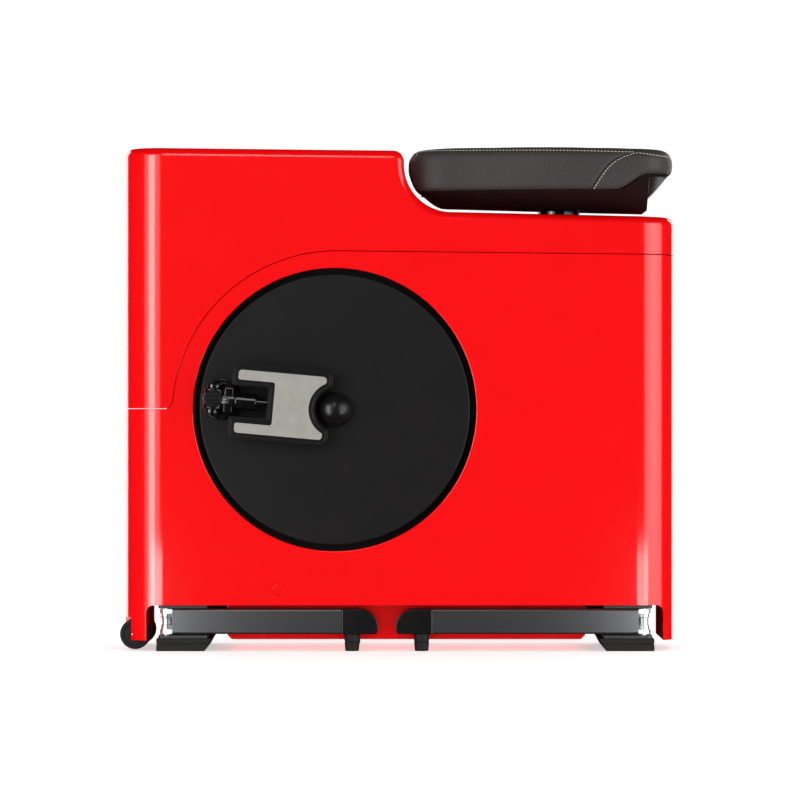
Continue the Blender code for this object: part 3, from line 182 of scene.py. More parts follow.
def rawMesh(bm, name="tool"):
    bmesh.ops.remove_doubles(bm, verts=bm.verts, dist=1e-7)
    bmesh.ops.recalc_face_normals(bm, faces=bm.faces)
    mesh = bpy.data.meshes.new(name)
    bm.to_mesh(mesh)
    bm.free()
    return mesh


def linked(name, mesh):
    item = bpy.data.objects.new(name, mesh)
    bpy.context.scene.collection.objects.link(item)
    return item


# the evaluated mesh of an object, whose modifiers go
def settled(item):
    graph = bpy.context.evaluated_depsgraph_get()
    mesh = bpy.data.meshes.new_from_object(item.evaluated_get(graph))
    item.modifiers.clear()
    item.data = mesh
    return mesh


# a mesh cut and joined by others in order, with its sharp edges rounded
def solid(name, start, steps=(), bevel=0.0, segments=2, sharp=30):
    mesh = start if isinstance(start, bpy.types.Mesh) else rawMesh(start, name)
    item = linked(f"{name}_work", mesh)
    helpers = []
    for operation, tool in steps:
        helper = linked(f"{name}_tool", tool if isinstance(tool, bpy.types.Mesh) else rawMesh(tool))
        helpers.append(helper)
        change = item.modifiers.new("change", "BOOLEAN")
        change.operation = operation
        change.solver = "EXACT"
        change.object = helper
    if bevel:
        change = item.modifiers.new("edges", "BEVEL")
        change.width = bevel
        change.segments = segments
        change.limit_method = "ANGLE"
        change.angle_limit = radians(sharp)
        change.use_clamp_overlap = True
        change.miter_outer = "MITER_ARC"
    mesh = settled(item)
    mesh.shade_smooth()
    mesh.set_sharp_from_angle(angle=radians(sharp + 8))
    change = item.modifiers.new("normals", "WEIGHTED_NORMAL")
    change.keep_sharp = True
    mesh = settled(item)
    for helper in helpers + [item]:
        bpy.data.objects.remove(helper, do_unlink=True)
    return mesh


slots = {row["node"]: row["material_slot"] for row in frame["record"]["subparts"]}


# a finished piece on its body, standing for the CAD nodes that it replaces
def piece(name, mesh, material, rides, replaced=(), matrix=None):
    if matrix:
        mesh.transform(matrix)
    mesh.materials.clear()
    mesh.materials.append(material)
    item = linked(name, mesh)
    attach(item, rides)
    if replaced:
        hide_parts(*replaced)
    return item


# materials

def toLinear(code):
    channels = [int(code[k:k + 2], 16) / 255 for k in (0, 2, 4)]
    return (*[c / 12.92 if c <= 0.04045 else ((c + 0.055) / 1.055) ** 2.4 for c in channels], 1.0)


def addNode(tree, kind, inputs=None, **settings):
    node = tree.nodes.new(kind)
    for name, value in settings.items():
        setattr(node, name, value)
    for name, value in (inputs or {}).items():
        if isinstance(value, bpy.types.NodeSocket):
            tree.links.new(value, node.inputs[name])
        else:
            node.inputs[name].default_value = value
    return node


def newMaterial(name, **constants):
    material = bpy.data.materials.new(name)
    material.use_nodes = True
    tree = material.node_tree
    shader = tree.nodes["Principled BSDF"]
    for socket, value in constants.items():
        shader.inputs[socket.replace("_", " ")].default_value = value
    return material, tree, shader


# a colour that drifts between two tones, a roughness that drifts with it and a fine grain in relief
def surface(name, tones, rough, drift, grain, height, **constants):
    material, tree, shader = newMaterial(name, **constants)
    place = addNode(tree, "ShaderNodeTexCoord").outputs["Object"]
    cloud = addNode(tree, "ShaderNodeTexNoise", {"Vector": place, "Scale": 1 / drift, "Detail": 3.0})
    share = addNode(
        tree, "ShaderNodeMapRange", {"Value": cloud.outputs["Fac"], "From Min": 0.3, "From Max": 0.7},
    )
    tint = addNode(
        tree, "ShaderNodeMix",
        {"Factor": share.outputs["Result"], 6: toLinear(tones[0]), 7: toLinear(tones[1])}, data_type="RGBA",
    )
    fine = addNode(tree, "ShaderNodeTexNoise", {"Vector": place, "Scale": 1 / grain, "Detail": 2.0})
    sheen = addNode(
        tree, "ShaderNodeMapRange",
        {
            "Value": fine.outputs["Fac"], "From Min": 0.3, "From Max": 0.7,
            "To Min": rough[0], "To Max": rough[1],
        },
    )
    relief = addNode(tree, "ShaderNodeBump", {"Height": fine.outputs["Fac"], "Distance": height})
    tree.links.new(tint.outputs[2], shader.inputs["Base Color"])
    tree.links.new(sheen.outputs["Result"], shader.inputs["Roughness"])
    tree.links.new(relief.outputs["Normal"], shader.inputs["Normal"])
    return material


# high-gloss moulded ABS: deep even red with sharp highlights and a trace of orange peel
glossRedAbs = surface(
    "glossRedAbs", ("FB0005", "FF0007"), (0.12, 0.15), 0.09, 0.004, 0.000008, IOR=1.53,
)
# spark-eroded black ABS: a dry satin black that scatters light softly; 0.2 mm grain, drawn at 0.8 mm
satinBlackAbs = surface(
    "satinBlackAbs", ("161515", "1A1818"), (0.34, 0.42), 0.05, 0.0008, 0.00003,
    IOR=1.5, Specular_IOR_Level=0.16,
)
# smoother moulded black plastic, as on caps and covers: a soft clear highlight
smoothBlackPlastic = surface(
    "smoothBlackPlastic", ("121111", "171616"), (0.24, 0.32), 0.03, 0.0012, 0.00002,
    IOR=1.5, Specular_IOR_Level=0.3,
)
# stoved gloss black enamel on cast or tubular steel: near-black with narrow bright streaks
glossBlackEnamel = surface(
    "glossBlackEnamel", ("0A0A0B", "0E0E0F"), (0.13, 0.18), 0.02, 0.0025, 0.00001, IOR=1.55,
)
# grey thermoplastic rubber: chalky, with no highlight
greyTreadRubber = surface(
    "greyTreadRubber", ("A19F98", "ABAAA3"), (0.62, 0.74), 0.012, 0.0005, 0.00004, IOR=1.5,
)
# moulded black rubber: dull, slightly brown, with a dusty sheen
blackRubber = surface(
    "blackRubber", ("191716", "201D1C"), (0.55, 0.72), 0.010, 0.0006, 0.00005,
    IOR=1.5, Specular_IOR_Level=0.15,
)
# graphite metallic enamel on steel tube: grey flakes in a smooth lacquer; flakes drawn at 0.5 mm
graphiteEnamel = surface(
    "graphiteEnamel", ("606164", "6D6E71"), (0.28, 0.34), 0.0005, 0.0005, 0.000004, Metallic=0.9,
)
# bright zinc plate on pressed steel: pale silver, a little cloudy
zincPlate = surface(
    "zincPlate", ("C9CCD0", "DADCDE"), (0.26, 0.38), 0.006, 0.0009, 0.00001, Metallic=1.0,
)
# textured black powder coat on welded steel: fine orange peel, drawn at 1 mm
blackPowderCoat = surface(
    "blackPowderCoat", ("1A1A1B", "202021"), (0.42, 0.55), 0.02, 0.001, 0.00006, IOR=1.5,
)
# twisted polyester sewing thread: pale, soft, with a faint shine
palePolyesterThread = surface(
    "palePolyesterThread", ("B9AE9E", "C8BEAF"), (0.50, 0.62), 0.0015, 0.0003, 0.00005,
    Sheen_Weight=0.2,
)
# painted shade: an almost black, dull cord laid in the seam's groove to stand for the shadow there
foldedLeatherEdge = surface(
    "foldedLeatherEdge", ("0E0C0B", "151211"), (0.7, 0.85), 0.004, 0.0006, 0.00003,
    Specular_IOR_Level=0.2,
)


# ground and turned steel: bright, with fine rings round the axis that it was turned on
def turnedMetal(name, tones, rough):
    material, tree, shader = newMaterial(name, Metallic=1.0)
    place = addNode(tree, "ShaderNodeTexCoord").outputs["Object"]
    stretched = addNode(tree, "ShaderNodeMapping", {"Vector": place, "Scale": (60.0, 2500.0, 60.0)})
    lines = addNode(
        tree, "ShaderNodeTexNoise", {"Vector": stretched.outputs["Vector"], "Scale": 1.0, "Detail": 2.0},
    )
    tint = addNode(
        tree, "ShaderNodeMix",
        {"Factor": lines.outputs["Fac"], 6: toLinear(tones[0]), 7: toLinear(tones[1])}, data_type="RGBA",
    )
    sheen = addNode(
        tree, "ShaderNodeMapRange",
        {"Value": lines.outputs["Fac"], "To Min": rough[0], "To Max": rough[1]},
    )
    relief = addNode(tree, "ShaderNodeBump", {"Height": lines.outputs["Fac"], "Distance": 0.000008})
    tree.links.new(tint.outputs[2], shader.inputs["Base Color"])
    tree.links.new(sheen.outputs["Result"], shader.inputs["Roughness"])
    tree.links.new(relief.outputs["Normal"], shader.inputs["Normal"])
    return material


# ground bearing steel: bright and smooth
groundSteel = turnedMetal("groundSteel", ("B4B6BA", "C6C8CB"), (0.20, 0.32))
# machined grey cast iron: darker, with wider tool lines
machinedIron = turnedMetal("machinedIron", ("6E6F72", "84858A"), (0.32, 0.48))


# polyurethane leather: brown grey, pebbled by 1 mm cells with finer pores, matter in the creases, with
# painted shade darkening the creases
def makeLeather():
    material, tree, shader = newMaterial(
        "pebbledLeather", IOR=1.48, Specular_IOR_Level=0.22, Sheen_Weight=0.05,
    )
    place = addNode(tree, "ShaderNodeTexCoord").outputs["Object"]
    bend = addNode(tree, "ShaderNodeTexNoise", {"Vector": place, "Scale": 220.0, "Detail": 2.0})
    shifted = addNode(
        tree, "ShaderNodeVectorMath", {0: bend.outputs["Color"], 1: (0.0012, 0.0012, 0.0012), 2: place},
        operation="MULTIPLY_ADD",
    )
    cells = addNode(
        tree, "ShaderNodeTexVoronoi", {"Vector": shifted.outputs["Vector"], "Scale": 750.0},
        feature="DISTANCE_TO_EDGE",
    )
    pebble = addNode(tree, "ShaderNodeMapRange", {"Value": cells.outputs["Distance"], "From Max": 0.22})
    pores = addNode(tree, "ShaderNodeTexNoise", {"Vector": place, "Scale": 2600.0, "Detail": 2.0})
    height = addNode(
        tree, "ShaderNodeMath", {0: pores.outputs["Fac"], 1: 0.35, 2: pebble.outputs["Result"]},
        operation="MULTIPLY_ADD",
    )
    relief = addNode(
        tree, "ShaderNodeBump", {"Height": height.outputs["Value"], "Distance": 0.00011, "Strength": 0.8},
    )
    cloud = addNode(tree, "ShaderNodeTexNoise", {"Vector": place, "Scale": 22.0, "Detail": 4.0})
    tint = addNode(
        tree, "ShaderNodeMix",
        {"Factor": cloud.outputs["Fac"], 6: toLinear("3E3836"), 7: toLinear("4A4340")}, data_type="RGBA",
    )
    # painted shade: the creases between the cells are darkened towards 282422
    creases = addNode(
        tree, "ShaderNodeMix",
        {"Factor": pebble.outputs["Result"], 6: toLinear("282422"), 7: tint.outputs[2]}, data_type="RGBA",
    )
    sheen = addNode(
        tree, "ShaderNodeMapRange", {"Value": pebble.outputs["Result"], "To Min": 0.62, "To Max": 0.44},
    )
    tree.links.new(creases.outputs[2], shader.inputs["Base Color"])
    tree.links.new(sheen.outputs["Result"], shader.inputs["Roughness"])
    tree.links.new(relief.outputs["Normal"], shader.inputs["Normal"])
    return material


pebbledLeather = makeLeather()
print("materials made")


# the body's form, every face moved in by inset

def topHeight(x, inset):
    return body["height"] - body["topSlope"] * (x - body["front"]) - inset / cos(atan(body["topSlope"]))


def deckHeight(x, inset):
    return body["deck"] - body["deckSlope"] * (x - body["step"]) - inset / cos(atan(body["deckSlope"]))


# the round from the top down to the deck: (x, z, outward x, outward z)
def stepCurve(inset, steps):
    points = []
    lean = atan(body["topSlope"])
    x = body["step"] - body["stepRadius"]
    z = topHeight(x, body["stepRadius"])
    for k in range(steps + 1):
        turn = lean + (pi / 2 - lean) * k / steps
        reach = body["stepRadius"] - inset
        points.append((x + reach * sin(turn), z + reach * cos(turn), sin(turn), cos(turn)))
    lean = atan(body["deckSlope"])
    x = body["step"] + body["sweepRadius"]
    z = deckHeight(x, -body["sweepRadius"])
    for k in range(2 * steps + 1):
        turn = (pi / 2 - lean) * k / (2 * steps)
        reach = body["sweepRadius"] + inset
        points.append((x - reach * cos(turn), z - reach * sin(turn), cos(turn), sin(turn)))
    return points


# a closed solid: rings from the crown's edge over the rounded rim, then straight walls to the bottom
def bodyForm(inset, bottom, cornerSteps=28, stepSteps=10, edgeSteps=8):
    radius = body["edgeRadius"] - inset
    deep = inset + radius
    flat = body["halfWidth"] - body["cornerRadius"]
    reach = body["cornerRadius"] - deep
    half = []
    for k in range(cornerSteps + 1):
        turn = pi / 2 * k / cornerSteps
        x = body["front"] + body["cornerRadius"] - reach * cos(turn)
        half.append((x, flat + reach * sin(turn), topHeight(x, deep), (0, 1), (-cos(turn), sin(turn))))
    for x, z, nx, nz in stepCurve(deep, stepSteps):
        half.append((x, body["halfWidth"] - deep, z, (nx, nz), (0, 1)))
    for k in range(cornerSteps + 1):
        turn = pi / 2 * (1 - k / cornerSteps)
        x = body["rear"] - body["cornerRadius"] + reach * cos(turn)
        half.append((x, flat + reach * sin(turn), deckHeight(x, deep), (0, 1), (cos(turn), sin(turn))))
    bm = bmesh.new()
    count = len(half)
    total = 2 * count
    rings = []
    for step in range(edgeSteps + 1):
        angle = pi / 2 * step / edgeSteps
        up, out = radius * cos(angle), radius * sin(angle)
        ring = []
        for sign in (-1, 1):
            row = [
                bm.verts.new((x + up * ax + out * bx, sign * (y + out * by), z + up * az))
                for x, y, z, (ax, az), (bx, by) in half
            ]
            ring += row[::sign * -1]
        rings.append(ring)
    for inner, outer in zip(rings, rings[1:]):
        for k in range(total):
            n = (k + 1) % total
            bm.faces.new((inner[k], inner[n], outer[n], outer[k]))
    crown, rim = rings[0], rings[-1]
    for k in range(count - 1):
        bm.faces.new((crown[k], crown[k + 1], crown[total - 2 - k], crown[total - 1 - k]))
    straight = range(cornerSteps, count - cornerSteps)
    near = [k for k in range(count) if k not in straight[1:-1]]
    feet = {}
    for k in near + [total - 1 - k for k in near]:
        feet[k] = bm.verts.new((rim[k].co.x, rim[k].co.y, bottom))
    order = sorted(feet)
    for k, n in zip(order, order[1:] + order[:1]):
        if n - k in (1, 1 - total):
            bm.faces.new((rim[k], rim[n], feet[n], feet[k]))
        else:
            bm.faces.new([rim[j] for j in range(k, n + 1)] + [feet[n], feet[k]])
    bm.faces.new([feet[k] for k in order])
    return bm


# the seam from the rear, over the crank and down to the front
def seamLine(offset):
    points = [(body["rear"] + far / 10, body["seamRear"] + offset)]
    centreX, centreZ = crank["x"] + body["seamShift"], body["seamCrest"] - body["seamRadius"]
    reach = body["seamRadius"] + offset
    foot = body["seamFront"] + body["seamFillet"]
    last = asin((foot - centreZ) / reach)
    for k in range(49):
        turn = pi / 2 + (pi / 2 - last) * k / 48
        points.append((centreX + reach * cos(turn), centreZ + reach * sin(turn)))
    small = body["seamFillet"] - offset
    x = centreX - reach * cos(last) - small
    for k in range(1, 11):
        turn = -pi / 2 * k / 10
        points.append((x + small * cos(turn), foot + small * sin(turn)))
    points.append((body["front"] - far / 10, body["seamFront"] + offset))
    return points


def bayOutline(grow):
    x0 = body["front"] + body["frontPost"] - grow
    x1 = body["rear"] - body["rearPost"] + grow
    top, radius = body["bayHeight"] + grow, body["bayRadius"] + grow
    return rounded([(x0, -far, 0), (x1, -far, 0), (x1, top, radius), (x0, top, radius)])


wheel = {
    "x": (wheelLow.x + wheelHigh.x) / 2, "z": (wheelLow.z + wheelHigh.z) / 2,
    "y": (wheelLow.y + wheelHigh.y) / 2, "radius": (wheelHigh.z - wheelLow.z) / 2,
    "width": wheelHigh.y - wheelLow.y, "room": 0.0025, "axle": 0.004, "hub": 0.008, "dish": 0.0015,
    "tyre": 0.005, "shoulder": 0.003, "groovePitch": 0.005, "grooveDeep": 0.0012,
}


def wheelRoom(side, grow):
    half = wheel["width"] / 2 + wheel["room"] + grow
    back = body["front"] + body["frontPost"] + grow / 2
    top = wheel["z"] + wheel["radius"] + wheel["room"] + grow
    return block(body["front"] - far, back, side * wheel["y"] - half, side * wheel["y"] + half, -far, top)


gripLow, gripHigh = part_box("front_grip_cup")
grip = {
    "half": gripHigh.y, "z": (gripLow.z + gripHigh.z) / 2, "tall": (gripHigh.z - gripLow.z) / 2,
    "depth": 0.024, "corner": 0.010, "wall": 0.0025, "sunk": 0.0005, "lip": 0.0008,
}
capLow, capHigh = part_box("screw_cap_left")
screwCap = {
    "x": (capLow.x + capHigh.x) / 2, "z": (capLow.z + capHigh.z) / 2, "radius": (capHigh.x - capLow.x) / 2,
    "deep": 0.006, "edge": 0.0008,
}


def gripForm(grow, x0, x1):
    half, tall = grip["half"] + grow, grip["tall"] + grow
    outline = softRectangle(-half, grip["z"] - tall, half, grip["z"] + tall, grip["corner"] + grow)
    return prism(outline, x0, x1, "X")


# a round opening whose rim is eased where it meets the side of the body
def easedHole(radius, side, lip, deep):
    face = side * body["halfWidth"]
    profile = [(0, face - side * deep), (radius, face - side * deep)]
    for k in range(7):
        turn = pi / 2 * k / 6
        profile.append((radius + lip * (1 - cos(turn)), face - side * lip * (1 - sin(turn))))
    profile += [(radius + lip, face + side * 0.01), (0, face + side * 0.01)]
    return turned(profile, (crank["x"], crank["z"]), "Y", 192)


# everything above (1) or below (-1) the seam, by half of its gap, between two planes
def seamHalf(way, y0, y1):
    line = seamLine(way * body["seamGap"] / 2)
    ends = [(body["front"] - far / 10, way * far), (body["rear"] + far / 10, way * far)]
    return prism(line + ends, y0, y1)


def buildCasings():
    cavity = [("DIFFERENCE", prism(bayOutline(body["wall"]), -far, far))]
    cavity += [("DIFFERENCE", wheelRoom(side, body["wall"])) for name, side in sides]
    hollow = solid("casingHollow", bodyForm(body["wall"], -0.02, 8, 5, 2), cavity)
    post = (postLow.x + postHigh.x) / 2
    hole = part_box("seat_guide")[1].x - post + 2 * gap
    steps = [
        ("DIFFERENCE", hollow), ("INTERSECT", seamHalf(1, -far, far)),
        ("DIFFERENCE", rod(hole, body["seamRear"], far, (post, 0), "Z", 96)),
        ("DIFFERENCE", gripForm(gap, body["front"] - 0.02, body["front"] + grip["depth"])),
    ]
    mesh = solid("upperCasing", bodyForm(0, body["foot"]), steps, body["seamLip"])
    piece("upperCasing", mesh, glossRedAbs, "machine_body", ["upper_casing"])
    tubLow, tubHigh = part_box("base_tub")
    inset = 3 * body["wall"]
    axleReach = wheel["y"] + wheel["width"] / 2 + wheel["room"] + body["wall"]
    axlePlace, capPlace = (wheel["x"], wheel["z"]), (screwCap["x"], screwCap["z"])
    for name, side in sides:
        face = side * body["halfWidth"]
        near, away = sorted((side * gap / 2, side * far))
        y0, y1 = sorted((face - side * 2 * body["wall"], face + side * body["wall"]))
        floorHole = block(
            tubLow.x + inset, tubHigh.x - inset, tubLow.y + inset, tubHigh.y - inset,
            body["bayHeight"] - body["wall"], body["bayHeight"] + 2 * body["wall"],
        )
        steps = [
            ("DIFFERENCE", hollow), ("INTERSECT", seamHalf(-1, near, away)),
            ("DIFFERENCE", prism(bayOutline(0), -far, far)), ("DIFFERENCE", wheelRoom(side, 0)),
            ("DIFFERENCE", easedHole(body["opening"], side, body["openingLip"], 2 * body["wall"])),
            ("DIFFERENCE", floorHole),
            ("DIFFERENCE", rod(wheel["axle"] + gap, -axleReach, axleReach, axlePlace, "Y", 32)),
            ("DIFFERENCE", rod(screwCap["radius"] + gap, y0, y1, capPlace, "Y", 48)),
        ]
        mesh = solid(f"lowerCasing{name}", bodyForm(0, body["foot"]), steps, body["seamLip"])
        piece(f"lowerCasing.{name}", mesh, glossRedAbs, "machine_body", [f"lower_casing_{name}"])
        back = face - side * screwCap["deep"]
        profile = softProfile([
            (0, face, 0), (screwCap["radius"], face, screwCap["edge"]),
            (screwCap["radius"], back, 0), (0, back, 0),
        ])
        mesh = solid("screwCap", turned(profile, capPlace, "Y", 64))
        piece(f"screwCap.{name}", mesh, glossRedAbs, "machine_body", [f"screw_cap_{name}"])


# an open cup, its rim just below the casing's face
def buildGrip():
    start, end = body["front"] + grip["sunk"], body["front"] + grip["depth"]
    cut = gripForm(-grip["wall"], body["front"] - grip["depth"], end - grip["wall"])
    cup = solid("gripCup", gripForm(0, start, end), [("DIFFERENCE", cut)], grip["lip"], 3)
    piece("gripCup", cup, greyTreadRubber, "machine_body", ["front_grip_cup"])


# the tray between the arms, chamfered along its ends
def buildBaseTub():
    low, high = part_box("base_tub")
    chamfer, wall = 2 * body["wall"], body["wall"]

    def outline(inset, roof):
        x0, x1, z0, z1 = low.x + inset, high.x - inset, low.z + inset, low.z + inset + chamfer
        return [(x0 + chamfer, z0), (x1 - chamfer, z0), (x1, z1), (x1, roof), (x0, roof), (x0, z1)]

    cut = prism(outline(wall, high.z + wall), low.y + wall, high.y - wall)
    mesh = solid("baseTub", prism(outline(0, high.z), low.y, high.y), [("DIFFERENCE", cut)], 0.001, 3)
    piece("baseTub", mesh, glossRedAbs, "machine_body", ["base_tub"])


buildCasings()
buildGrip()
buildBaseTub()
print("casings made")


# crank sides, built in the frame of one side: x from the axis to the boss, z outwards

crankSide = {
    "tilt": radians(5.1), "reach": 0.171, "bossReach": 0.158, "bossRadius": 0.029, "bossProud": 0.0045,
    "lift": 0.019, "discRadius": (discHigh.x - discLow.x) / 2, "discThick": discHigh.y - discLow.y,
    "discRim": 0.0018, "ball": 0.0244, "ballNeck": 0.0023,
    "armThick": 0.012, "armWidth": 0.044, "axle": 0.010, "ear": 0.006, "earRadius": 0.010,
    "knuckle": 0.014, "knuckleWidth": 0.0284, "foldPin": 0.0034,
    "cap": 0.0123, "capTravel": 0.002, "capPocket": 0.006, "capProud": 0.0015,
    "flutePitch": 0.0055, "fluteHalf": 0.0013,
    "shoulder": -0.016, "collarWidth": 0.039, "collarTall": 0.022, "collarThick": 0.012,
    "barrel": 0.012, "barrelLength": 0.045, "barrelGroove": 0.0008,
    "stub": 0.006, "stubLength": 0.0155, "spindle": 0.005, "spindleLength": 0.054,
}
crankSide["barrelEnd"] = crankSide["shoulder"] - crankSide["barrelLength"]
crankSide["stubEnd"] = crankSide["barrelEnd"] - crankSide["stubLength"]
crankSide["spindleEnd"] = crankSide["stubEnd"] - crankSide["spindleLength"]
pedal = {
    "near": -0.025, "length": 0.140, "halfWidth": 0.0525, "thick": 0.018, "corner": 0.012,
    "slotHalf": 0.022, "slotEnd": -0.077, "notch": 0.031, "hub": -0.174, "spread": radians(60),
    "horn": 0.008, "treadInset": 0.008, "treadDepth": 0.003, "treadThick": 0.0035,
    "rimShare": 0.45, "rimDepth": 0.0012, "backInset": 0.006, "backDepth": 0.003,
    "boreRoom": 0.002, "boreMouth": -0.05,
}


# from the frame of one side to the machine's
def sideMatrix(side):
    out = Vector((0, side, 0))
    reach = Vector((side * cos(crankSide["tilt"]), 0, -side * sin(crankSide["tilt"])))
    matrix = Matrix((reach, out.cross(reach), out)).transposed().to_4x4()
    matrix.translation = Vector((crank["x"], side * -discLow.y, crank["z"]))
    return matrix


def buildDisc(name, matrix):
    radius, thick, rim = crankSide["discRadius"], crankSide["discThick"], crankSide["discRim"]
    profile = softProfile([(0, -thick, 0), (radius, -thick, 0.0006), (radius, 0, rim), (0, 0, 0)], 6)
    hole = rod(crankSide["bossRadius"] + gap, -far, far, (crankSide["bossReach"], 0), "Z", 96)
    mesh = solid("disc", turned(profile, (0, 0), "Z", 192), [("DIFFERENCE", hole)], 0.0005)
    piece(f"crankDisc.{name}", mesh, satinBlackAbs, "crank", [f"crank_disc_{name}"], matrix=matrix)


def buildBall(name, matrix):
    radius, neck = crankSide["ball"], crankSide["ballNeck"]
    profile = [(0, gap), (radius - 0.0012, gap), (radius, gap + 0.0008)]
    profile += [(radius * cos(pi / 2 * k / 24), neck + radius * sin(pi / 2 * k / 24)) for k in range(24)]
    profile.append((0, neck + radius))
    mesh = solid("ball", turned(profile, (0, 0), "Z", 96))
    piece(f"hubBall.{name}", mesh, smoothBlackPlastic, "crank", [f"hub_ball_{name}"], matrix=matrix)


# the arm behind the disc, with the boss and the fork that come through it, and the fork's pin
def buildCrankArm(name, matrix):
    top = -crankSide["discThick"] - gap
    bottom = top - crankSide["armThick"]
    radius, proud, reach = crankSide["bossRadius"], crankSide["bossProud"], crankSide["reach"]
    profile = softProfile([
        (0, bottom, 0), (radius, bottom, 0.0008), (radius, proud, 0.0014), (radius - 0.003, proud, 0.0006),
        (radius - 0.0042, proud - 0.0016, 0.0006), (radius - 0.0054, proud - 0.0016, 0.0006),
        (radius - 0.0066, proud - 0.0002, 0.0005), (0, proud - 0.0002, 0),
    ], 3)
    boss = solid("boss", turned(profile, (crankSide["bossReach"], 0), "Z", 96))
    inner = crankSide["knuckleWidth"] / 2 + gap
    outer = inner + crankSide["ear"]
    half, lift = crankSide["earRadius"], crankSide["lift"]
    outline = [(reach + half * cos(pi * k / 20), lift + half * sin(pi * k / 20)) for k in range(21)]
    outline += [(reach - half, 0), (reach + half, 0)]
    spans = ((-outer, -inner), (inner, outer))
    ears = [solid("ear", prism(outline, y0, y1), (), 0.0012, 3) for y0, y1 in spans]
    wide = crankSide["armWidth"] / 2
    bar = rounded([
        (-wide, -wide, wide * 0.95), (crankSide["bossReach"], -wide, 0),
        (crankSide["bossReach"], wide, 0), (-wide, wide, wide * 0.95),
    ], 12)
    steps = [("UNION", prism(bar, bottom + gap, top - gap, "Z"))] + [("UNION", ear) for ear in ears]
    steps += [
        ("DIFFERENCE", rod(crankSide["axle"] + gap, -far, top + 0.01, (0, 0), "Z", 64)),
        ("DIFFERENCE", rod(crankSide["foldPin"] + gap / 3, -far, far, (reach, lift), "Y", 32)),
    ]
    mesh = solid("crankArm", boss, steps)
    piece(f"crankArm.{name}", mesh, glossBlackEnamel, "crank", [f"crank_arm_{name}"], matrix=matrix)
    pin, edge = crankSide["foldPin"], 0.0006
    profile = softProfile([(0, -outer, 0), (pin, -outer, edge), (pin, outer, edge), (0, outer, 0)], 3)
    mesh = solid("foldPin", turned(profile, (reach, lift), "Y", 32))
    piece(f"foldPin.{name}", mesh, groundSteel, "crank", matrix=matrix)


# knuckle, collar, barrel and the thin spindle that the platform turns on
def buildSpindle(name, matrix):
    half, knuckle = crankSide["knuckleWidth"] / 2, crankSide["knuckle"]
    wide, tall = crankSide["collarWidth"] / 2, crankSide["collarTall"] / 2
    start, barrelEnd = crankSide["shoulder"], crankSide["barrelEnd"]
    stubEnd, last = crankSide["stubEnd"], crankSide["spindleEnd"]
    barrel, stub, spindle = crankSide["barrel"], crankSide["stub"], crankSide["spindle"]
    groove, grooveEnd = start - 0.014, start - 0.017
    waist = barrel - crankSide["barrelGroove"]
    hub = softProfile([(0, -half, 0), (knuckle, -half, 0.0015), (knuckle, half, 0.0015), (0, half, 0)], 4)
    shaft = softProfile([
        (0, -0.004, 0), (barrel, -0.004, 0), (barrel, groove, 0), (waist, groove - 0.0008, 0),
        (waist, grooveEnd + 0.0008, 0), (barrel, grooveEnd, 0), (barrel, barrelEnd, 0.002),
        (stub, barrelEnd, 0.0005), (stub, stubEnd, 0.0008),
        (spindle, stubEnd, 0), (spindle, last, 0.001), (0, last, 0),
    ], 4)
    plan = softRectangle(-wide, -tall, wide, tall, 0.004, 5)
    collar = prism(plan, start - crankSide["collarThick"], start, "X")
    pocket = knuckle - crankSide["capPocket"]
    steps = [
        ("UNION", solid("collar", collar, (), 0.0014, 3)), ("UNION", turned(shaft, (0, 0), "X", 64)),
        ("DIFFERENCE", rod(crankSide["cap"] + gap, pocket, far, (0, 0), "Z", 64)),
        ("DIFFERENCE", rod(0.003, -far, far, (0, 0), "Y", 32)),
    ]
    mesh = solid("spindle", turned(hub, (0, 0), "Y", 64), steps, sharp=34)
    replaced = [f"pedal_spindle_{name}"]
    piece(f"pedalSpindle.{name}", mesh, glossBlackEnamel, f"pedal_{name}", replaced, matrix=matrix)


# the round button with flutes across it
def buildReleaseCap(name, matrix):
    radius = crankSide["cap"]
    low = crankSide["knuckle"] - crankSide["capPocket"] + gap + crankSide["capTravel"]
    high = crankSide["knuckle"] + crankSide["capProud"]
    profile = softProfile([(0, low, 0), (radius, low, 0.0004), (radius, high, 0.0012), (0, high, 0)], 4)
    flutes, half, above = [], crankSide["fluteHalf"], high + 0.01
    for k in (-1.5, -0.5, 0.5, 1.5):
        middle = k * crankSide["flutePitch"]
        groove = rounded([
            (middle - half, high - half, 0.0007), (middle + half, high - half, 0.0007),
            (middle + half, above, 0), (middle - half, above, 0),
        ], 4)
        flutes.append(("DIFFERENCE", prism(groove, -far, far, "X")))
    mesh = solid("releaseCap", turned(profile, (0, 0), "Z", 64), flutes, 0.0004)
    replaced = [f"release_cap_{name}"]
    piece(f"releaseCap.{name}", mesh, smoothBlackPlastic, f"release_{name}", replaced, matrix=matrix)


# the platform in plan about the fold pin: slot towards the boss, round notch at the hub
def platformOutline(inset, steps=8):
    near = pedal["near"] - inset
    end = near - pedal["length"] + 2 * inset
    half, slot = pedal["halfWidth"] - inset, pedal["slotHalf"] + inset
    slotEnd, radius, spread = pedal["slotEnd"] - inset, pedal["notch"] + inset, pedal["spread"]
    corner = pedal["corner"] - inset * 0.85
    reach = (pedal["hub"] + radius * cos(spread) - end) / sin(spread)
    tip = radius * sin(spread) + reach * cos(spread)
    horn = min(pedal["horn"] - inset * 0.6, reach)
    notch = []
    for k in range(25):
        turn = spread - 2 * spread * k / 24
        notch.append((pedal["hub"] + radius * cos(turn), radius * sin(turn), 0))
    corners = [(near, slot, 0.003), (near, half, corner), (end, half, corner), (end, tip, horn)] + notch
    corners += [(end, -tip, horn), (end, -half, corner), (near, -half, corner), (near, -slot, 0.003)]
    corners += [(slotEnd, -slot, 0.004), (slotEnd, slot, 0.004)]
    return rounded(corners, steps)


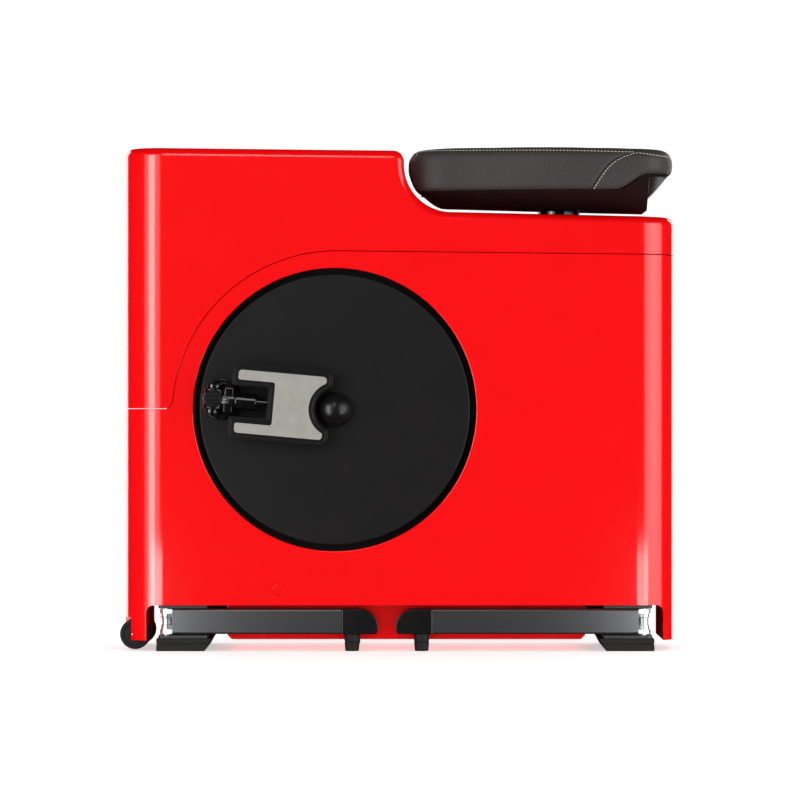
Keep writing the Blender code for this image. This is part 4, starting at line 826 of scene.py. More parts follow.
def buildPlatform(name, matrix):
    half, stubEnd = pedal["thick"] / 2, crankSide["stubEnd"]
    boreEnd, mouth = crankSide["spindleEnd"] - pedal["boreRoom"], pedal["boreMouth"]
    rim = pedal["treadInset"] * pedal["rimShare"]
    steps = [
        ("DIFFERENCE", prism(platformOutline(rim), half - pedal["rimDepth"], far, "Z")),
        ("DIFFERENCE", prism(platformOutline(pedal["treadInset"]), half - pedal["treadDepth"], far, "Z")),
        ("DIFFERENCE", prism(platformOutline(pedal["backInset"]), -far, -half + pedal["backDepth"], "Z")),
        ("DIFFERENCE", rod(crankSide["spindle"] + gap, boreEnd, mouth, (0, 0), "X", 48)),
        ("DIFFERENCE", rod(crankSide["stub"] + gap, stubEnd - gap, mouth, (0, 0), "X", 48)),
    ]
    mesh = solid("platform", prism(platformOutline(0), -half, half, "Z"), steps, 0.0007, 3)
    rides, replaced = f"platform_{name}", [f"pedal_frame_{name}"]
    piece(f"pedalFrame.{name}", mesh, smoothBlackPlastic, rides, replaced, matrix=matrix)


# Geometry Nodes: a tree with named inputs, whose result becomes a plain mesh

def newTree(name, inputs):
    tree = bpy.data.node_groups.new(name, "GeometryNodeTree")
    tree.interface.new_socket("Geometry", in_out="INPUT", socket_type="NodeSocketGeometry")
    tree.interface.new_socket("Geometry", in_out="OUTPUT", socket_type="NodeSocketGeometry")
    for label, kind in inputs.items():
        tree.interface.new_socket(label, in_out="INPUT", socket_type=kind)
    start = tree.nodes.new("NodeGroupInput")
    return tree, start.outputs


def endTree(tree, geometry, material):
    whole = addNode(tree, "GeometryNodeRealizeInstances", {"Geometry": geometry})
    coated = addNode(
        tree, "GeometryNodeSetMaterial", {"Geometry": whole.outputs["Geometry"], "Material": material},
    )
    end = tree.nodes.new("NodeGroupOutput")
    tree.links.new(coated.outputs["Geometry"], end.inputs["Geometry"])


def runTree(tree, mesh, values):
    item = linked(f"{tree.name}_work", mesh)
    change = item.modifiers.new(tree.name, "NODES")
    change.node_group = tree
    for socket in tree.interface.items_tree:
        if socket.in_out == "INPUT" and socket.name in values:
            change[socket.identifier] = values[socket.name]
    result = settled(item)
    bpy.data.objects.remove(item, do_unlink=True)
    return result


# chains of points as edges, for Geometry Nodes to sweep or fill
def chainMesh(chains):
    mesh = bpy.data.meshes.new("chains")
    points, edges = [], []
    for chain in chains:
        start = len(points)
        points += chain
        edges += [(start + k, start + k + 1) for k in range(len(chain) - 1)]
    mesh.from_pydata(points, edges, [])
    return mesh


def joinMeshes(meshes):
    bm = bmesh.new()
    for mesh in meshes:
        bm.from_mesh(mesh)
    bmesh.ops.recalc_face_normals(bm, faces=bm.faces)
    whole = bpy.data.meshes.new("joined")
    bm.to_mesh(whole)
    bm.free()
    whole.shade_smooth()
    return whole


number, matter = "NodeSocketFloat", "NodeSocketMaterial"


# ribs: a low trapezium swept along chains
def makeRibTree():
    tree, given = newTree("ribs", {
        "Rib Width": number, "Rib Height": number, "Crown": number, "Material": matter,
    })
    chain = addNode(tree, "GeometryNodeMeshToCurve", {"Mesh": given["Geometry"]})
    flat = addNode(tree, "GeometryNodeSetCurveNormal", {"Curve": chain.outputs["Curve"]}, mode="Z_UP")
    narrow = addNode(tree, "ShaderNodeMath", {0: given["Rib Width"], 1: given["Crown"]}, operation="MULTIPLY")
    section = addNode(
        tree, "GeometryNodeCurvePrimitiveQuadrilateral",
        {
            "Bottom Width": given["Rib Width"], "Top Width": narrow.outputs[0], "Height": given["Rib Height"],
            "Offset": 0.0,
        },
        mode="TRAPEZOID",
    )
    rib = addNode(
        tree, "GeometryNodeCurveToMesh",
        {"Curve": flat.outputs["Curve"], "Profile Curve": section.outputs[0], "Fill Caps": True},
    )
    endTree(tree, rib.outputs["Mesh"], given["Material"])
    return tree


tread = {
    "pitch": 0.0040, "ribWidth": 0.0027, "ribHeight": 0.0012, "flatHalf": 0.010, "lean": 0.62,
    "ovals": ((0.0040, 0.0060), (0.0078, 0.0098), (0.0112, 0.0134)), "margin": 0.0022,
    "ovalRoom": 0.002, "crown": 0.6, "sunk": 0.00005, "overrun": 0.03,
}


# whether a point lies within a closed outline
def insideOutline(outline, x, y):
    inside = False
    for (ax, ay), (bx, by) in zip(outline, outline[1:] + outline[:1]):
        if (ay > y) != (by > y) and x < ax + (bx - ax) * (y - ay) / (by - ay):
            inside = not inside
    return inside


# chevron chains over the plate, cut short at its edge and round the ovals in its middle
def treadChains(outline, centre, level):
    left, right = min(x for x, y in outline), max(x for x, y in outline)
    top = max(y for x, y in outline)
    wide, tall = (size + tread["ovalRoom"] for size in tread["ovals"][-1])
    chains = []
    start = left - tread["overrun"]
    while start < right + tread["overrun"]:
        run = []
        for k in range(121):
            y = -top + 2 * top * k / 120
            x = start + tread["lean"] * max(0.0, abs(y) - tread["flatHalf"])
            if ((x - centre) / wide) ** 2 + (y / tall) ** 2 > 1 and insideOutline(outline, x, y):
                run.append(Vector((x, y, level)))
            else:
                chains.append(run)
                run = []
        chains.append(run)
        start += tread["pitch"]
    chains = [run for run in chains if len(run) > 2]
    for wide, tall in tread["ovals"]:
        turns = [2 * pi * k / 48 for k in range(49)]
        chains.append([Vector((centre + wide * cos(t), tall * sin(t), level)) for t in turns])
    return chains


# the rubber insert: a plate with ribs on it
def buildTread(name, matrix, tree):
    low = pedal["thick"] / 2 - pedal["treadDepth"] + gap
    top = low + pedal["treadThick"] - tread["ribHeight"]
    plate = prism(platformOutline(pedal["treadInset"] + gap), low, top, "Z")
    field = platformOutline(pedal["treadInset"] + tread["margin"])
    centre = (pedal["slotEnd"] + pedal["hub"] + pedal["notch"]) / 2
    chains = treadChains(field, centre, top + tread["ribHeight"] / 2 - tread["sunk"])
    ribs = runTree(tree, chainMesh(chains), {
        "Rib Width": tread["ribWidth"], "Rib Height": tread["ribHeight"], "Crown": tread["crown"],
        "Material": greyTreadRubber,
    })
    mesh = joinMeshes([solid("treadPlate", plate, (), 0.0004), ribs])
    mesh.set_sharp_from_angle(angle=radians(30))
    rides, replaced = f"platform_{name}", [f"pedal_tread_{name}"]
    piece(f"pedalTread.{name}", mesh, greyTreadRubber, rides, replaced, matrix=matrix)


def buildCrankSides():
    ribs = makeRibTree()
    for name, side in sides:
        matrix = sideMatrix(side)
        hinge = matrix @ Matrix.Translation((crankSide["reach"], 0, crankSide["lift"]))
        buildDisc(name, matrix)
        buildBall(name, matrix)
        buildCrankArm(name, matrix)
        buildSpindle(name, hinge)
        buildReleaseCap(name, hinge)
        buildPlatform(name, hinge)
        buildTread(name, hinge, ribs)


buildCrankSides()
print("crank and pedals made")


# stabiliser arms, each in the frame of its pin: x along the arm

arm = {
    "tall": 0.035, "thick": 0.026, "bottom": 0.0242, "wall": 0.002, "corner": 0.0028, "reach": 0.0085,
    "tab": 0.009, "tabThick": 0.006, "tabLength": 0.020, "plugLength": 0.022, "pin": 0.004,
    "collar": 0.0072, "collarTall": 0.012, "sleeve": 0.0060,
    "cap": 0.052, "sweepLong": 0.026, "sweepTall": 0.027, "toe": 0.0045, "capPlug": 0.018,
    "footRadius": 0.011, "footFromTip": 0.037,
}


# an arm's pin and how far its tip is from it
def armTip(end, name):
    low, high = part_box(f"arm_cap_{end}_{name}")
    pinLow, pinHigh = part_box(f"hinge_pin_{end}_{name}")
    pin = (pinLow + pinHigh) / 2
    return pin, abs((high.x if end == "front" else low.x) - pin.x)


def armMatrix(end, pin):
    matrix = Matrix.Translation((pin.x, pin.y, 0))
    return matrix if end == "front" else matrix @ Matrix.Rotation(pi, 4, "Z")


def buildArm(end, name):
    pin, tip = armTip(end, name)
    matrix, rides = armMatrix(end, pin), f"arm_{end}_{name}_unit"
    low, high, half, wall = arm["bottom"], arm["bottom"] + arm["tall"], arm["thick"] / 2, arm["wall"]
    shape = softRectangle(-half, low, half, high, arm["corner"], 6)
    bore = softRectangle(-half + wall, low + wall, half - wall, high - wall, 0.001, 3)
    tube = prism(shape, arm["reach"], tip - arm["cap"], "X")
    mesh = solid("arm", tube, [("DIFFERENCE", prism(bore, arm["reach"] - 0.01, far, "X"))], 0.0005)
    piece(f"arm.{end}.{name}", mesh, graphiteEnamel, rides, [f"arm_{end}_{name}"], matrix=matrix)
    buildArmHinge(end, name, matrix, rides)
    buildArmCap(end, name, tip, matrix, rides)
    buildArmFoot(end, name, tip, matrix, rides)


# a plug in the tube's end with two tongues and a sleeve round the pin
def buildArmHinge(end, name, matrix, rides):
    low, high, wall = arm["bottom"], arm["bottom"] + arm["tall"], arm["wall"]
    tab, thick, long, hole = arm["tab"], arm["tabThick"], arm["tabLength"], arm["pin"] + gap
    inside = arm["thick"] / 2 - wall - 0.00005    # just clear of the tube
    start, last = arm["reach"] + 0.001, arm["reach"] + arm["plugLength"]
    tongue = rounded([(-tab, -tab, tab * 0.98), (long, -tab, 0), (long, tab, 0), (-tab, tab, tab * 0.98)], 10)
    plug = block(start, last, -inside, inside, low + wall, high - wall)
    thin, wide, tall, edge = arm["sleeve"], arm["collar"], arm["collarTall"], 0.0005
    sleeve = turned(softProfile([
        (hole, low + gap, 0), (wide, low + gap, 0), (wide, low + tall, edge), (thin, low + tall + edge, edge),
        (thin, high - tall - edge, edge), (wide, high - tall, edge),
        (wide, high - gap, 0), (hole, high - gap, 0),
    ], 3), (0, 0), "Z", 48)
    steps = [("UNION", prism(tongue, z0, z0 + thick, "Z")) for z0 in (low + gap, high - thick - gap)]
    steps += [("UNION", sleeve), ("DIFFERENCE", rod(hole, -far, far, (0, 0), "Z", 32))]
    mesh = solid("armHinge", plug, steps, 0.0004)
    piece(f"armHinge.{end}.{name}", mesh, zincPlate, rides, matrix=matrix)


# a rubber pin with a shallow ring round it
def buildArmFoot(end, name, tip, matrix, rides):
    place = (tip - arm["footFromTip"], 0)
    radius, top = arm["footRadius"], arm["bottom"] - gap
    profile = softProfile([
        (0, 0, 0), (radius - 0.0014, 0, 0.001), (radius - 0.0004, 0.012, 0), (radius - 0.0012, 0.0126, 0),
        (radius - 0.0010, 0.0136, 0), (radius - 0.0002, 0.0142, 0), (radius, top, 0), (0, top, 0),
    ], 4)
    mesh = solid("armFoot", turned(profile, place, "Z", 48))
    piece(f"armFoot.{end}.{name}", mesh, blackRubber, rides, [f"arm_foot_{end}_{name}"], matrix=matrix)


# a cap whose top sweeps down to the tip, with a plug inside the tube
def buildArmCap(end, name, tip, matrix, rides):
    low, high, half = arm["bottom"], arm["bottom"] + arm["tall"], arm["thick"] / 2
    start, toe = tip - arm["cap"] + gap, arm["toe"]
    outline = [(start, low), (start, high)]
    for k in range(17):
        turn = pi / 2 * k / 16
        along, drop = arm["sweepLong"] * sin(turn), arm["sweepTall"] * (1 - cos(turn))
        outline.append((tip - arm["sweepLong"] + along, high - drop))
    toeTop = high - arm["sweepTall"]
    for k in range(1, 7):
        turn = pi / 2 * k / 6
        outline.append((tip - toe + toe * cos(turn), low + (toeTop - low) * (1 - sin(turn))))
    wall = arm["wall"] + gap
    inner = start - arm["capPlug"]
    plug = block(inner, start + 0.004, -half + wall, half - wall, low + wall, high - wall)
    mesh = solid("armCap", prism(outline, -half, half), (), 0.0016, 4)
    mesh = solid("armCap", mesh, [("UNION", plug)])
    piece(f"armCap.{end}.{name}", mesh, smoothBlackPlastic, rides, [f"arm_cap_{end}_{name}"], matrix=matrix)


ends = (("front", 1), ("rear", -1))    # with the way to the machine's middle
footPad = {"parting": 0.0092, "groove": 0.0012, "grooveDeep": 0.001, "slant": 0.010}


# two layers with a groove between them; the inner end leans out towards the top
def buildFootPads():
    for end, heading in ends:
        low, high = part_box(f"foot_pad_{end}")
        parting, deep = footPad["parting"], footPad["grooveDeep"]
        outer, inner = (low.x, high.x) if heading > 0 else (high.x, low.x)

        def outline(z0, z1, inset):
            first, last = outer + heading * inset, inner - heading * inset
            back0, back1 = (heading * footPad["slant"] * (1 - z / high.z) for z in (z0, z1))
            return [(first, z0), (last - back0, z0), (last - back1, z1), (first, z1)]

        base = prism(outline(0, parting, 0), low.y, high.y)
        neck = prism(outline(parting - 0.001, parting + 0.002, deep), low.y + deep, high.y - deep)
        top = prism(outline(parting + footPad["groove"], high.z, 0), low.y, high.y)
        mesh = solid("pad", solid("padBase", base, (), 0.0012, 3), [
            ("UNION", neck), ("UNION", solid("padTop", top, (), 0.0010, 3)),
        ])
        piece(f"footPad.{end}", mesh, blackRubber, "machine_body", [f"foot_pad_{end}"])


hinge = {
    "below": 0.002, "above": 0.001, "corner": 0.005, "webOuter": 0.001, "webInner": 0.006,
    "webHalf": 0.061, "webWall": 0.003, "hole": 0.006, "holeReach": 0.018, "edge": 0.0006,
}


# dark plates above and below the arms, joined by a bright web with two holes, and the upright pins
def buildHinges():
    for end, heading in ends:
        low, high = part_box(f"hinge_bracket_{end}")
        pins = [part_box(f"hinge_pin_{end}_{name}") for name, side in sides]
        places = [((a.x + b.x) / 2, (a.y + b.y) / 2) for a, b in pins]
        lowTop, highLow = arm["bottom"] - hinge["below"], arm["bottom"] + arm["tall"] + hinge["above"]
        plan = softRectangle(low.x, low.y, high.x, high.y, hinge["corner"], 6)
        for label, z0, z1, replaced in (
            ("hingePlates", low.z, lowTop, [f"hinge_bracket_{end}"]), ("hingeTop", highLow, high.z, ()),
        ):
            holes = [("DIFFERENCE", rod(arm["pin"] + gap, -far, far, place, "Z", 32)) for place in places]
            mesh = solid(label, prism(plan, z0, z1, "Z"), holes, hinge["edge"])
            piece(f"{label}.{end}", mesh, blackPowderCoat, "machine_body", replaced)
        outer, inner = (low.x, high.x) if heading > 0 else (high.x, low.x)
        x0, x1 = sorted((outer + heading * hinge["webOuter"], inner - heading * hinge["webInner"]))
        half, wall, middle = hinge["webHalf"], hinge["webWall"], ((x0 + x1) / 2, (lowTop + highLow) / 2)
        steps = [("DIFFERENCE", block(x0 + wall, x1 - wall, -half + wall, half - wall, -far, far))]
        for way in (-1, 1):
            place = (middle[0] + way * hinge["holeReach"], middle[1])
            steps.append(("DIFFERENCE", rod(hinge["hole"], -far, far, place, "Y", 32)))
        mesh = solid("hingeWeb", block(x0, x1, -half, half, lowTop - gap, highLow + gap), steps, 0.0008)
        piece(f"hingeWeb.{end}", mesh, zincPlate, "machine_body")
        radius, edge = arm["pin"], hinge["edge"]
        profile = [(0, low.z, 0), (radius, low.z, edge), (radius, high.z, edge), (0, high.z, 0)]
        for (name, side), place in zip(sides, places):
            mesh = solid("hingePin", turned(softProfile(profile, 4), place, "Z", 48))
            piece(f"hingePin.{end}.{name}", mesh, groundSteel, "machine_body", [f"hinge_pin_{end}_{name}"])


# dished on both sides, with three grooves round the tread
def buildWheels():
    half, radius = wheel["width"] / 2, wheel["radius"]
    hub, dish, tyre, soft = wheel["hub"], wheel["dish"], radius - wheel["tyre"], 0.0006
    edge = [
        (wheel["axle"] + gap, -half, 0), (hub, -half, soft), (hub + 0.001, -half + dish, 0.0004),
        (tyre - 0.001, -half + dish, 0.0004), (tyre, -half, soft), (radius, -half, wheel["shoulder"]),
    ]
    grooves, floor = [], radius - wheel["grooveDeep"]
    for k in (-1, 0, 1):
        at = k * wheel["groovePitch"]
        grooves += [
            (radius, at - 0.0009, 0), (floor, at - 0.0004, 0),
            (floor, at + 0.0004, 0), (radius, at + 0.0009, 0),
        ]
    corners = edge + grooves + [(x, -y, soft) for x, y, soft in reversed(edge)]
    for name, side in sides:
        profile = softProfile([(x, side * wheel["y"] + y, soft) for x, y, soft in corners], 4)
        mesh = solid("wheel", turned(profile, (wheel["x"], wheel["z"]), "Y", 64))
        piece(f"transportWheel.{name}", mesh, blackRubber, f"wheel_{name}", [f"transport_wheel_{name}"])


for end, heading in ends:
    for name, side in sides:
        buildArm(end, name)
buildFootPads()
buildHinges()
buildWheels()
print("arms, pads and wheels made")


# saddle

seat = {
    "start": body["step"] + 0.004, "end": body["rear"] - 0.0015, "noseHalf": 0.085, "fullHalf": 0.129,
    "top": 0.710, "belly": 0.648, "tailLift": 0.0215, "noseLift": 0.030, "topRound": 0.014,
    "footRound": 0.004, "noseDrop": 0.013, "tailDrop": 0.009, "slack": 0.0014,
    # shares of the length: the widest spot, the rounded ends, the belly's rise, the highest spot
    "widest": 0.72, "endShare": 0.14, "riseFrom": 0.78, "riseOver": 0.12, "summit": 0.25,
    "voxel": 0.005, "pressure": 4.0, "frames": 20,
}
pan = {
    "first": 0.055, "step": 0.90, "last": 0.972, "lift": 0.0095, "taper": 0.5,
    "bowOver": 0.085, "bowLift": 0.020, "inset": 0.006,
}


# from 0 to 1 with a soft start and end
def ease(share):
    return 0.5 - 0.5 * cos(pi * share)


# half of the width, the underside and the top, at a share of the length from the nose
def seatHalf(share):
    swell = seat["noseHalf"] + (seat["fullHalf"] - seat["noseHalf"]) * ease(min(1.0, share / seat["widest"]))
    front = sqrt(max(0.0, 1 - (1 - min(1.0, share / seat["endShare"])) ** 2))
    rear = sqrt(max(0.0, 1 - max(0.0, (share - 1 + seat["endShare"]) / seat["endShare"]) ** 2.4))
    return swell * (0.35 + 0.65 * front) * (0.55 + 0.45 * rear)


def seatBelly(share):
    rise = min(1.0, max(0.0, (share - seat["riseFrom"]) / seat["riseOver"]))
    nose = max(0.0, 1 - share / pan["first"])
    return seat["belly"] + seat["tailLift"] * ease(rise) + seat["noseLift"] * nose ** 2.2


def seatCrown(share):
    before = max(0.0, 1 - share / seat["summit"])
    after = max(0.0, (share - seat["summit"]) / (1 - seat["summit"]))
    camber = 0.003 * before ** 2 + 0.005 * after ** 2
    nose = max(0.0, 1 - share / 0.035)
    tail = max(0.0, (share - 0.955) / 0.045)
    return seat["top"] - camber - seat["noseDrop"] * nose ** 2 - seat["tailDrop"] * tail ** 2


# one upright section: flat below, rounded at the top edges
def sectionRing(x, half, low, high, roundTop, steps):
    top = min(roundTop, (high - low) * 0.48, half * 0.9)
    foot = min(seat["footRound"], top)
    ring = []
    corners = (
        (half - foot, low + foot, foot), (half - top, high - top, top),
        (-half + top, high - top, top), (-half + foot, low + foot, foot),
    )
    for turn, (y, z, size) in enumerate(corners):
        for k in range(steps + 1):
            angle = -pi / 2 + turn * pi / 2 + pi / 2 * k / steps
            ring.append((x, y + size * cos(angle), z + size * sin(angle)))
    return ring


# places along the length, closer together near both ends
def shares(first, last, count):
    return [first + (last - first) * ease(k / count) for k in range(count + 1)]


# the cushion's closed form, every face moved in by inset
def cushionForm(inset):
    rings = []
    x0, x1 = seat["start"] + inset, seat["end"] - inset
    for share in shares(0, 1, 90):
        half = seatHalf(share) - inset
        low, high = seatBelly(share) + inset * 0.3, seatCrown(share) - inset
        rings.append(sectionRing(x0 + (x1 - x0) * share, half, low, high, seat["topRound"], 6))
    return skin(rings)


# the pad swells under pressure by no more than its slack
def inflate(mesh, cap):
    item = linked("cushionWork", mesh)
    change = item.modifiers.new("even", "REMESH")
    change.mode = "VOXEL"
    change.voxel_size = seat["voxel"]
    start = settled(item)
    rest = [v.co.copy() for v in start.vertices]
    cloth = item.modifiers.new("cloth", "CLOTH")
    cloth.settings.use_pressure = True
    cloth.settings.uniform_pressure_force = seat["pressure"]
    cloth.settings.effector_weights.gravity = 0.0
    scene = bpy.context.scene
    for step in range(1, seat["frames"] + 1):
        scene.frame_set(step)
    swollen = settled(item)
    scene.frame_set(1)
    for vertex, before in zip(swollen.vertices, rest):
        move = vertex.co - before
        if move.length > cap:
            vertex.co = before + move.normalized() * cap
    change = item.modifiers.new("even", "SMOOTH")
    change.factor = 0.5
    change.iterations = 3
    change = item.modifiers.new("finer", "SUBSURF")
    change.levels = change.render_levels = 1
    result = settled(item)
    bpy.data.objects.remove(item, do_unlink=True)
    return result


# a smooth curve through points
def smoothPath(points, count):
    path = []
    for k in range(count + 1):
        t = (len(points) - 1) * k / count
        i = min(int(t), len(points) - 2)
        u = t - i
        p = [Vector(points[max(0, min(len(points) - 1, j))]) for j in (i - 1, i, i + 1, i + 2)]
        path.append(0.5 * (
            2 * p[1] + (p[2] - p[0]) * u + (2 * p[0] - 5 * p[1] + 4 * p[2] - p[3]) * u * u
            + (3 * p[1] - p[0] - 3 * p[2] + p[3]) * u ** 3
        ))
    return path


# the seams in side view: (x, z) along the saddle
seams = {
    "top": smoothPath([
        (0.0270, 0.7000), (0.0310, 0.7042), (0.0600, 0.7052), (0.2000, 0.7036), (0.3290, 0.7005),
    ], 60),
    "side": smoothPath([
        (0.2720, 0.6420), (0.2750, 0.6490), (0.2925, 0.6755), (0.3080, 0.6890), (0.3270, 0.6970),
        (0.3375, 0.6990), (0.3666, 0.6955), (0.3880, 0.6945),
    ], 60),
}
seams["groove"] = [Vector((p.x - 0.0030, p.y + 0.0010)) for p in seams["side"][:44]]
sewing = {
    # fold: the radius of the dark cord of painted seam shade
    "pitch": 0.0048, "length": 0.0038, "thread": 0.0014, "fold": 0.00055,
    # each seam's crease: how deep and how wide
    "creases": (("top", 0.0007, 0.0026), ("side", 0.0005, 0.0024), ("groove", 0.0018, 0.0022)),
}


def lineDistance(line, spot):
    best = far
    for a, b in zip(line, line[1:]):
        along = b - a
        share = max(0.0, min(1.0, (spot - a).dot(along) / along.length_squared))
        best = min(best, (a + along * share - spot).length)
    return best


# the leather is drawn in along its seams
def creaseSeams(mesh):
    for vertex in mesh.vertices:
        if abs(vertex.normal.z) > 0.93:
            continue
        spot = Vector((vertex.co.x, vertex.co.z))
        depth = 0.0
        for name, deep, wide in sewing["creases"]:
            reach = lineDistance(seams[name], spot)
            depth = max(depth, deep * exp(-(reach / wide) ** 2))
        vertex.co -= vertex.normal * depth


# points of a side-view line where it lies on one flank of the cushion
def flankRail(tree, line, side):
    rail = []
    for spot in line:
        start = Vector((spot.x, side * 0.3, spot.y))
        place, normal, face, reach = tree.ray_cast(start, Vector((0, -side, 0)))
        if place is not None and normal.y * side > 0.12:
            rail.append(place)
    return rail


# chains with the outward direction stored on each point
def railMesh(rails, tree):
    mesh = chainMesh(rails)
    outward = mesh.attributes.new("outward", "FLOAT_VECTOR", "POINT")
    for k, point in enumerate(mesh.vertices):
        outward.data[k].vector = tree.find_nearest(point.co)[1]
    return mesh


# stitches: plump beads along a chain, lying on the surface
def makeStitchTree():
    tree, given = newTree("stitches", {
        "Pitch": number, "Length": number, "Thickness": number, "Material": matter,
    })
    chain = addNode(tree, "GeometryNodeMeshToCurve", {"Mesh": given["Geometry"]})
    even = addNode(
        tree, "GeometryNodeResampleCurve", {"Curve": chain.outputs["Curve"], "Length": given["Pitch"]},
        mode="LENGTH",
    )
    outward = addNode(
        tree, "GeometryNodeInputNamedAttribute", {"Name": "outward"}, data_type="FLOAT_VECTOR",
    )
    tangent = addNode(tree, "GeometryNodeInputTangent")
    lie = addNode(
        tree, "FunctionNodeAxesToRotation", {0: outward.outputs["Attribute"], 1: tangent.outputs["Tangent"]},
        primary_axis="Z", secondary_axis="X",
    )
    bead = addNode(tree, "GeometryNodeMeshUVSphere", {"Segments": 10, "Rings": 6, "Radius": 0.5})
    size = addNode(
        tree, "ShaderNodeCombineXYZ",
        {"X": given["Length"], "Y": given["Thickness"], "Z": given["Thickness"]},
    )
    shaped = addNode(
        tree, "GeometryNodeTransform", {"Geometry": bead.outputs["Mesh"], "Scale": size.outputs[0]},
    )
    spread = addNode(tree, "GeometryNodeInstanceOnPoints", {
        "Points": even.outputs["Curve"], "Instance": shaped.outputs["Geometry"], "Rotation": lie.outputs[0],
    })
    endTree(tree, spread.outputs["Instances"], given["Material"])
    return tree


# a thin round cord along a chain
def makeCordTree():
    tree, given = newTree("cord", {"Radius": number, "Material": matter})
    chain = addNode(tree, "GeometryNodeMeshToCurve", {"Mesh": given["Geometry"]})
    ring = addNode(
        tree, "GeometryNodeCurvePrimitiveCircle", {"Resolution": 8, "Radius": given["Radius"]},
    )
    cord = addNode(
        tree, "GeometryNodeCurveToMesh",
        {"Curve": chain.outputs["Curve"], "Profile Curve": ring.outputs["Curve"], "Fill Caps": True},
    )
    endTree(tree, cord.outputs["Mesh"], given["Material"])
    return tree


# the leather cushion with its seams, its thread and a dark cord of painted shade in its groove
def buildCushion():
    mesh = inflate(rawMesh(cushionForm(seat["slack"]), "cushion"), seat["slack"] * 0.8)
    creaseSeams(mesh)
    mesh.shade_smooth()
    leather = piece("seatCushion", mesh, pebbledLeather, "saddle", ["seat_cushion"])
    tree = BVHTree.FromPolygons([v.co for v in mesh.vertices], [p.vertices[:] for p in mesh.polygons])
    rails, grooves = [], []
    for name, side in sides:
        rails += [flankRail(tree, seams["top"][4:], side), flankRail(tree, seams["side"][6:], side)]
        grooves.append(flankRail(tree, seams["groove"][6:], side))
    thread = runTree(makeStitchTree(), railMesh(rails, tree), {
        "Pitch": sewing["pitch"], "Length": sewing["length"], "Thickness": sewing["thread"],
        "Material": palePolyesterThread,
    })
    thread.shade_smooth()
    piece("seatThread", thread, palePolyesterThread, "saddle")
    # a near-black cord along each groove: painted shade, not a part of the leather
    folds = runTree(makeCordTree(), railMesh(grooves, tree), {
        "Radius": sewing["fold"], "Material": foldedLeatherEdge,
    })
    folds.shade_smooth()
    piece("seatSeamShade", folds, foldedLeatherEdge, "saddle")


# the shell's underside at a place along the saddle, and its bow at the nose
def panUnder(x, along):
    bow = max(0.0, 1 - (along - pan["first"]) / pan["bowOver"])
    low = deckHeight(x, -pan["lift"]) + pan["bowLift"] * bow ** 1.6
    if along > pan["step"]:
        low += 0.016 + 0.030 * ((along - pan["step"]) / (pan["last"] - pan["step"])) ** 1.2
    return low, bow


# the hard shell under the leather, narrower below
def buildPan():
    stations = shares(pan["first"], pan["step"], 46) + shares(pan["step"] + 0.003, pan["last"], 14)
    taper = pan["taper"]
    rings = []
    for along in stations:
        x = seat["start"] + (seat["end"] - seat["start"]) * along
        low, bow = panUnder(x, along)
        top = seatBelly(along) - gap
        low = min(low, top - 0.003)
        half = (seatHalf(along) - pan["inset"]) * (1 - 0.10 * bow)
        ring = sectionRing(x, half, low, top, 0.003, 4)
        rings.append([(a, b * (taper + (1 - taper) * (c - low) / (top - low)), c) for a, b, c in ring])
    mesh = solid("pan", skin(rings), (), 0.0008, 2)
    piece("seatPan", mesh, satinBlackAbs, "saddle", ["seat_pan"])


post = {"wall": 0.003, "head": 0.02}


# a round tube closed at its head, and the sleeve that it slides in
def buildPost():
    low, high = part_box("seat_post")
    centre = ((low.x + high.x) / 2, 0)
    radius = (high.x - low.x) / 2
    bore, roof = radius - post["wall"], high.z - post["head"]
    mesh = solid("post", turned(softProfile([
        (0, high.z, 0), (radius, high.z, 0.0008), (radius, low.z, 0.001), (bore, low.z, 0.001),
        (bore, roof, 0.002), (0, roof, 0),
    ], 5), centre, "Z", 128))
    piece("seatPost", mesh, glossBlackEnamel, "saddle", ["seat_post"])
    low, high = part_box("seat_guide")
    outer = (high.x - low.x) / 2
    inner = radius + gap
    mesh = solid("guide", turned(softProfile([
        (inner, low.z, 0), (outer, low.z, 0.0006), (outer, high.z, 0.0009), (inner, high.z, 0.0009),
    ], 5), centre, "Z", 128))
    piece("seatGuide", mesh, smoothBlackPlastic, "machine_body", ["seat_guide"])


buildCushion()
buildPan()
buildPost()
print("saddle made")


# studio

studio = {"camera": (0.0035, -5.6, 0.3534), "lens": 176.2, "floor": 9, "lightLevel": 0.36}


# a soft box seen only in reflections: turn from the side view, height angle, its width and height as
# angles, radiance
def softBox(name, aim, turn, rise, wide, tall, radiance, distance=2.6):
    angle, lift = radians(turn), radians(rise)
    data = bpy.data.lights.new(name, "AREA")
    data.shape = "RECTANGLE"
    data.size = 2 * distance * tan(radians(wide) / 2)
    data.size_y = 2 * distance * tan(radians(tall) / 2)
    data.energy = radiance * pi * data.size * data.size_y
    box = bpy.data.objects.new(name, data)
    box.location = aim + Vector((sin(angle) * cos(lift), -cos(angle) * cos(lift), sin(lift))) * distance
    box.rotation_euler = (aim - box.location).to_track_quat("-Z", "Y").to_euler()
    box.visible_diffuse = False
    box.visible_camera = False
    bpy.context.scene.collection.objects.link(box)


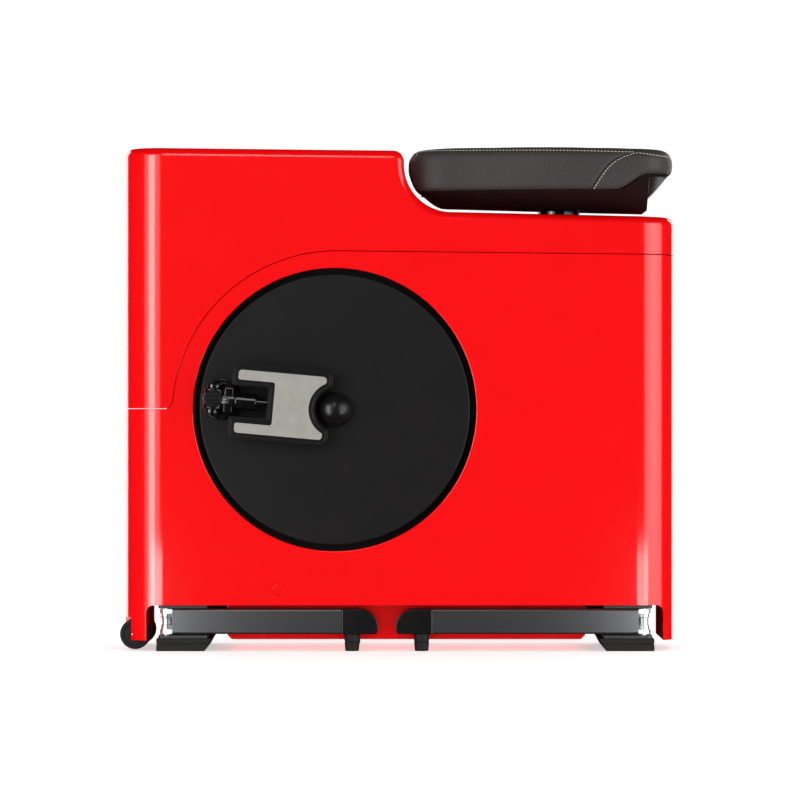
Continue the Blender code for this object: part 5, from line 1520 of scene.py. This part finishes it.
def buildStudio():
    scene = bpy.context.scene
    scene.view_settings.view_transform = "Standard"
    world = bpy.data.worlds.new("studio")
    scene.world = world
    world.use_nodes = True
    tree = world.node_tree
    sky = tree.nodes["Background"]
    sky.inputs["Color"].default_value = (1.0, 1.0, 1.0, 1.0)
    up = addNode(tree, "ShaderNodeTexCoord").outputs["Generated"]
    height = addNode(tree, "ShaderNodeSeparateXYZ", {0: up})
    fade = addNode(tree, "ShaderNodeMapRange", {
        "Value": height.outputs["Z"], "From Min": 0.15, "From Max": 0.75, "To Min": 1.12, "To Max": 0.55,
    })
    tree.links.new(fade.outputs["Result"], sky.inputs["Strength"])
    world.cycles_visibility.glossy = False
    low, high = cadBox
    level = studio["lightLevel"]
    frontCorner = Vector((low.x + body["cornerRadius"] / 2, -body["halfWidth"], level))
    rearCorner = Vector((high.x - body["cornerRadius"] / 2, -body["halfWidth"], level))
    middle = Vector(((low.x + high.x) / 2, 0, level))
    for name, aim, turn, rise, wide, tall, radiance in (
        ("frontWide", frontCorner, -37, 4, 46, 50, 2.0), ("frontMiddle", frontCorner, -37, 4, 33, 46, 4.6),
        ("frontCore", frontCorner, -38, 4, 18, 42, 7.5),
        ("rearWide", rearCorner, 56, 4, 56, 50, 2.6), ("rearMiddle", rearCorner, 56, 4, 38, 46, 6.0),
        ("rearCore", rearCorner, 56, 4, 20, 42, 9.0),
        ("above", Vector((-0.29, 0, level)), 0, 31, 14, 20, 4.2),
        ("farFront", middle, -142, 6, 22, 44, 3.0), ("farRear", middle, 142, 6, 22, 44, 3.0),
    ):
        softBox(name, aim, turn, rise, wide, tall, radiance)
    for name, turn in (("armsFront", -1), ("armsRear", 1)):
        aim = Vector((turn * 0.60, -body["halfWidth"], 0.045))
        softBox(name, aim, 0, 0, 40, 16, 8.0, 0.55)

    bm = bmesh.new()
    bmesh.ops.create_grid(bm, x_segments=1, y_segments=1, size=studio["floor"])
    floor = linked("floor", rawMesh(bm, "floor"))
    # matt white paper, a little self-lit so that its shadows stay pale
    paper = surface(
        "paleFloor", ("FAFAFA", "FCFCFC"), (0.8, 0.9), 0.5, 0.01, 0.0, Emission_Strength=0.5,
    )
    floor.data.materials.append(paper)
    floor.visible_glossy = False

    data = bpy.data.cameras.new("camera")
    data.lens, data.sensor_width = studio["lens"], 36
    camera = bpy.data.objects.new("camera", data)
    camera.location = studio["camera"]
    camera.rotation_euler = (pi / 2, 0, 0)
    scene.collection.objects.link(camera)
    scene.camera = camera


buildStudio()

finishes = {
    "red": glossRedAbs, "black": satinBlackAbs, "gloss_black": glossBlackEnamel,
    "grey_tread": greyTreadRubber, "leather": pebbledLeather, "graphite": graphiteEnamel,
    "rubber": blackRubber, "steel": groundSteel, "iron": machinedIron, "frame": blackPowderCoat,
}
for node, item in frame["nodes"].items():
    item.data.materials.clear()
    item.data.materials.append(finishes[slots[node]])
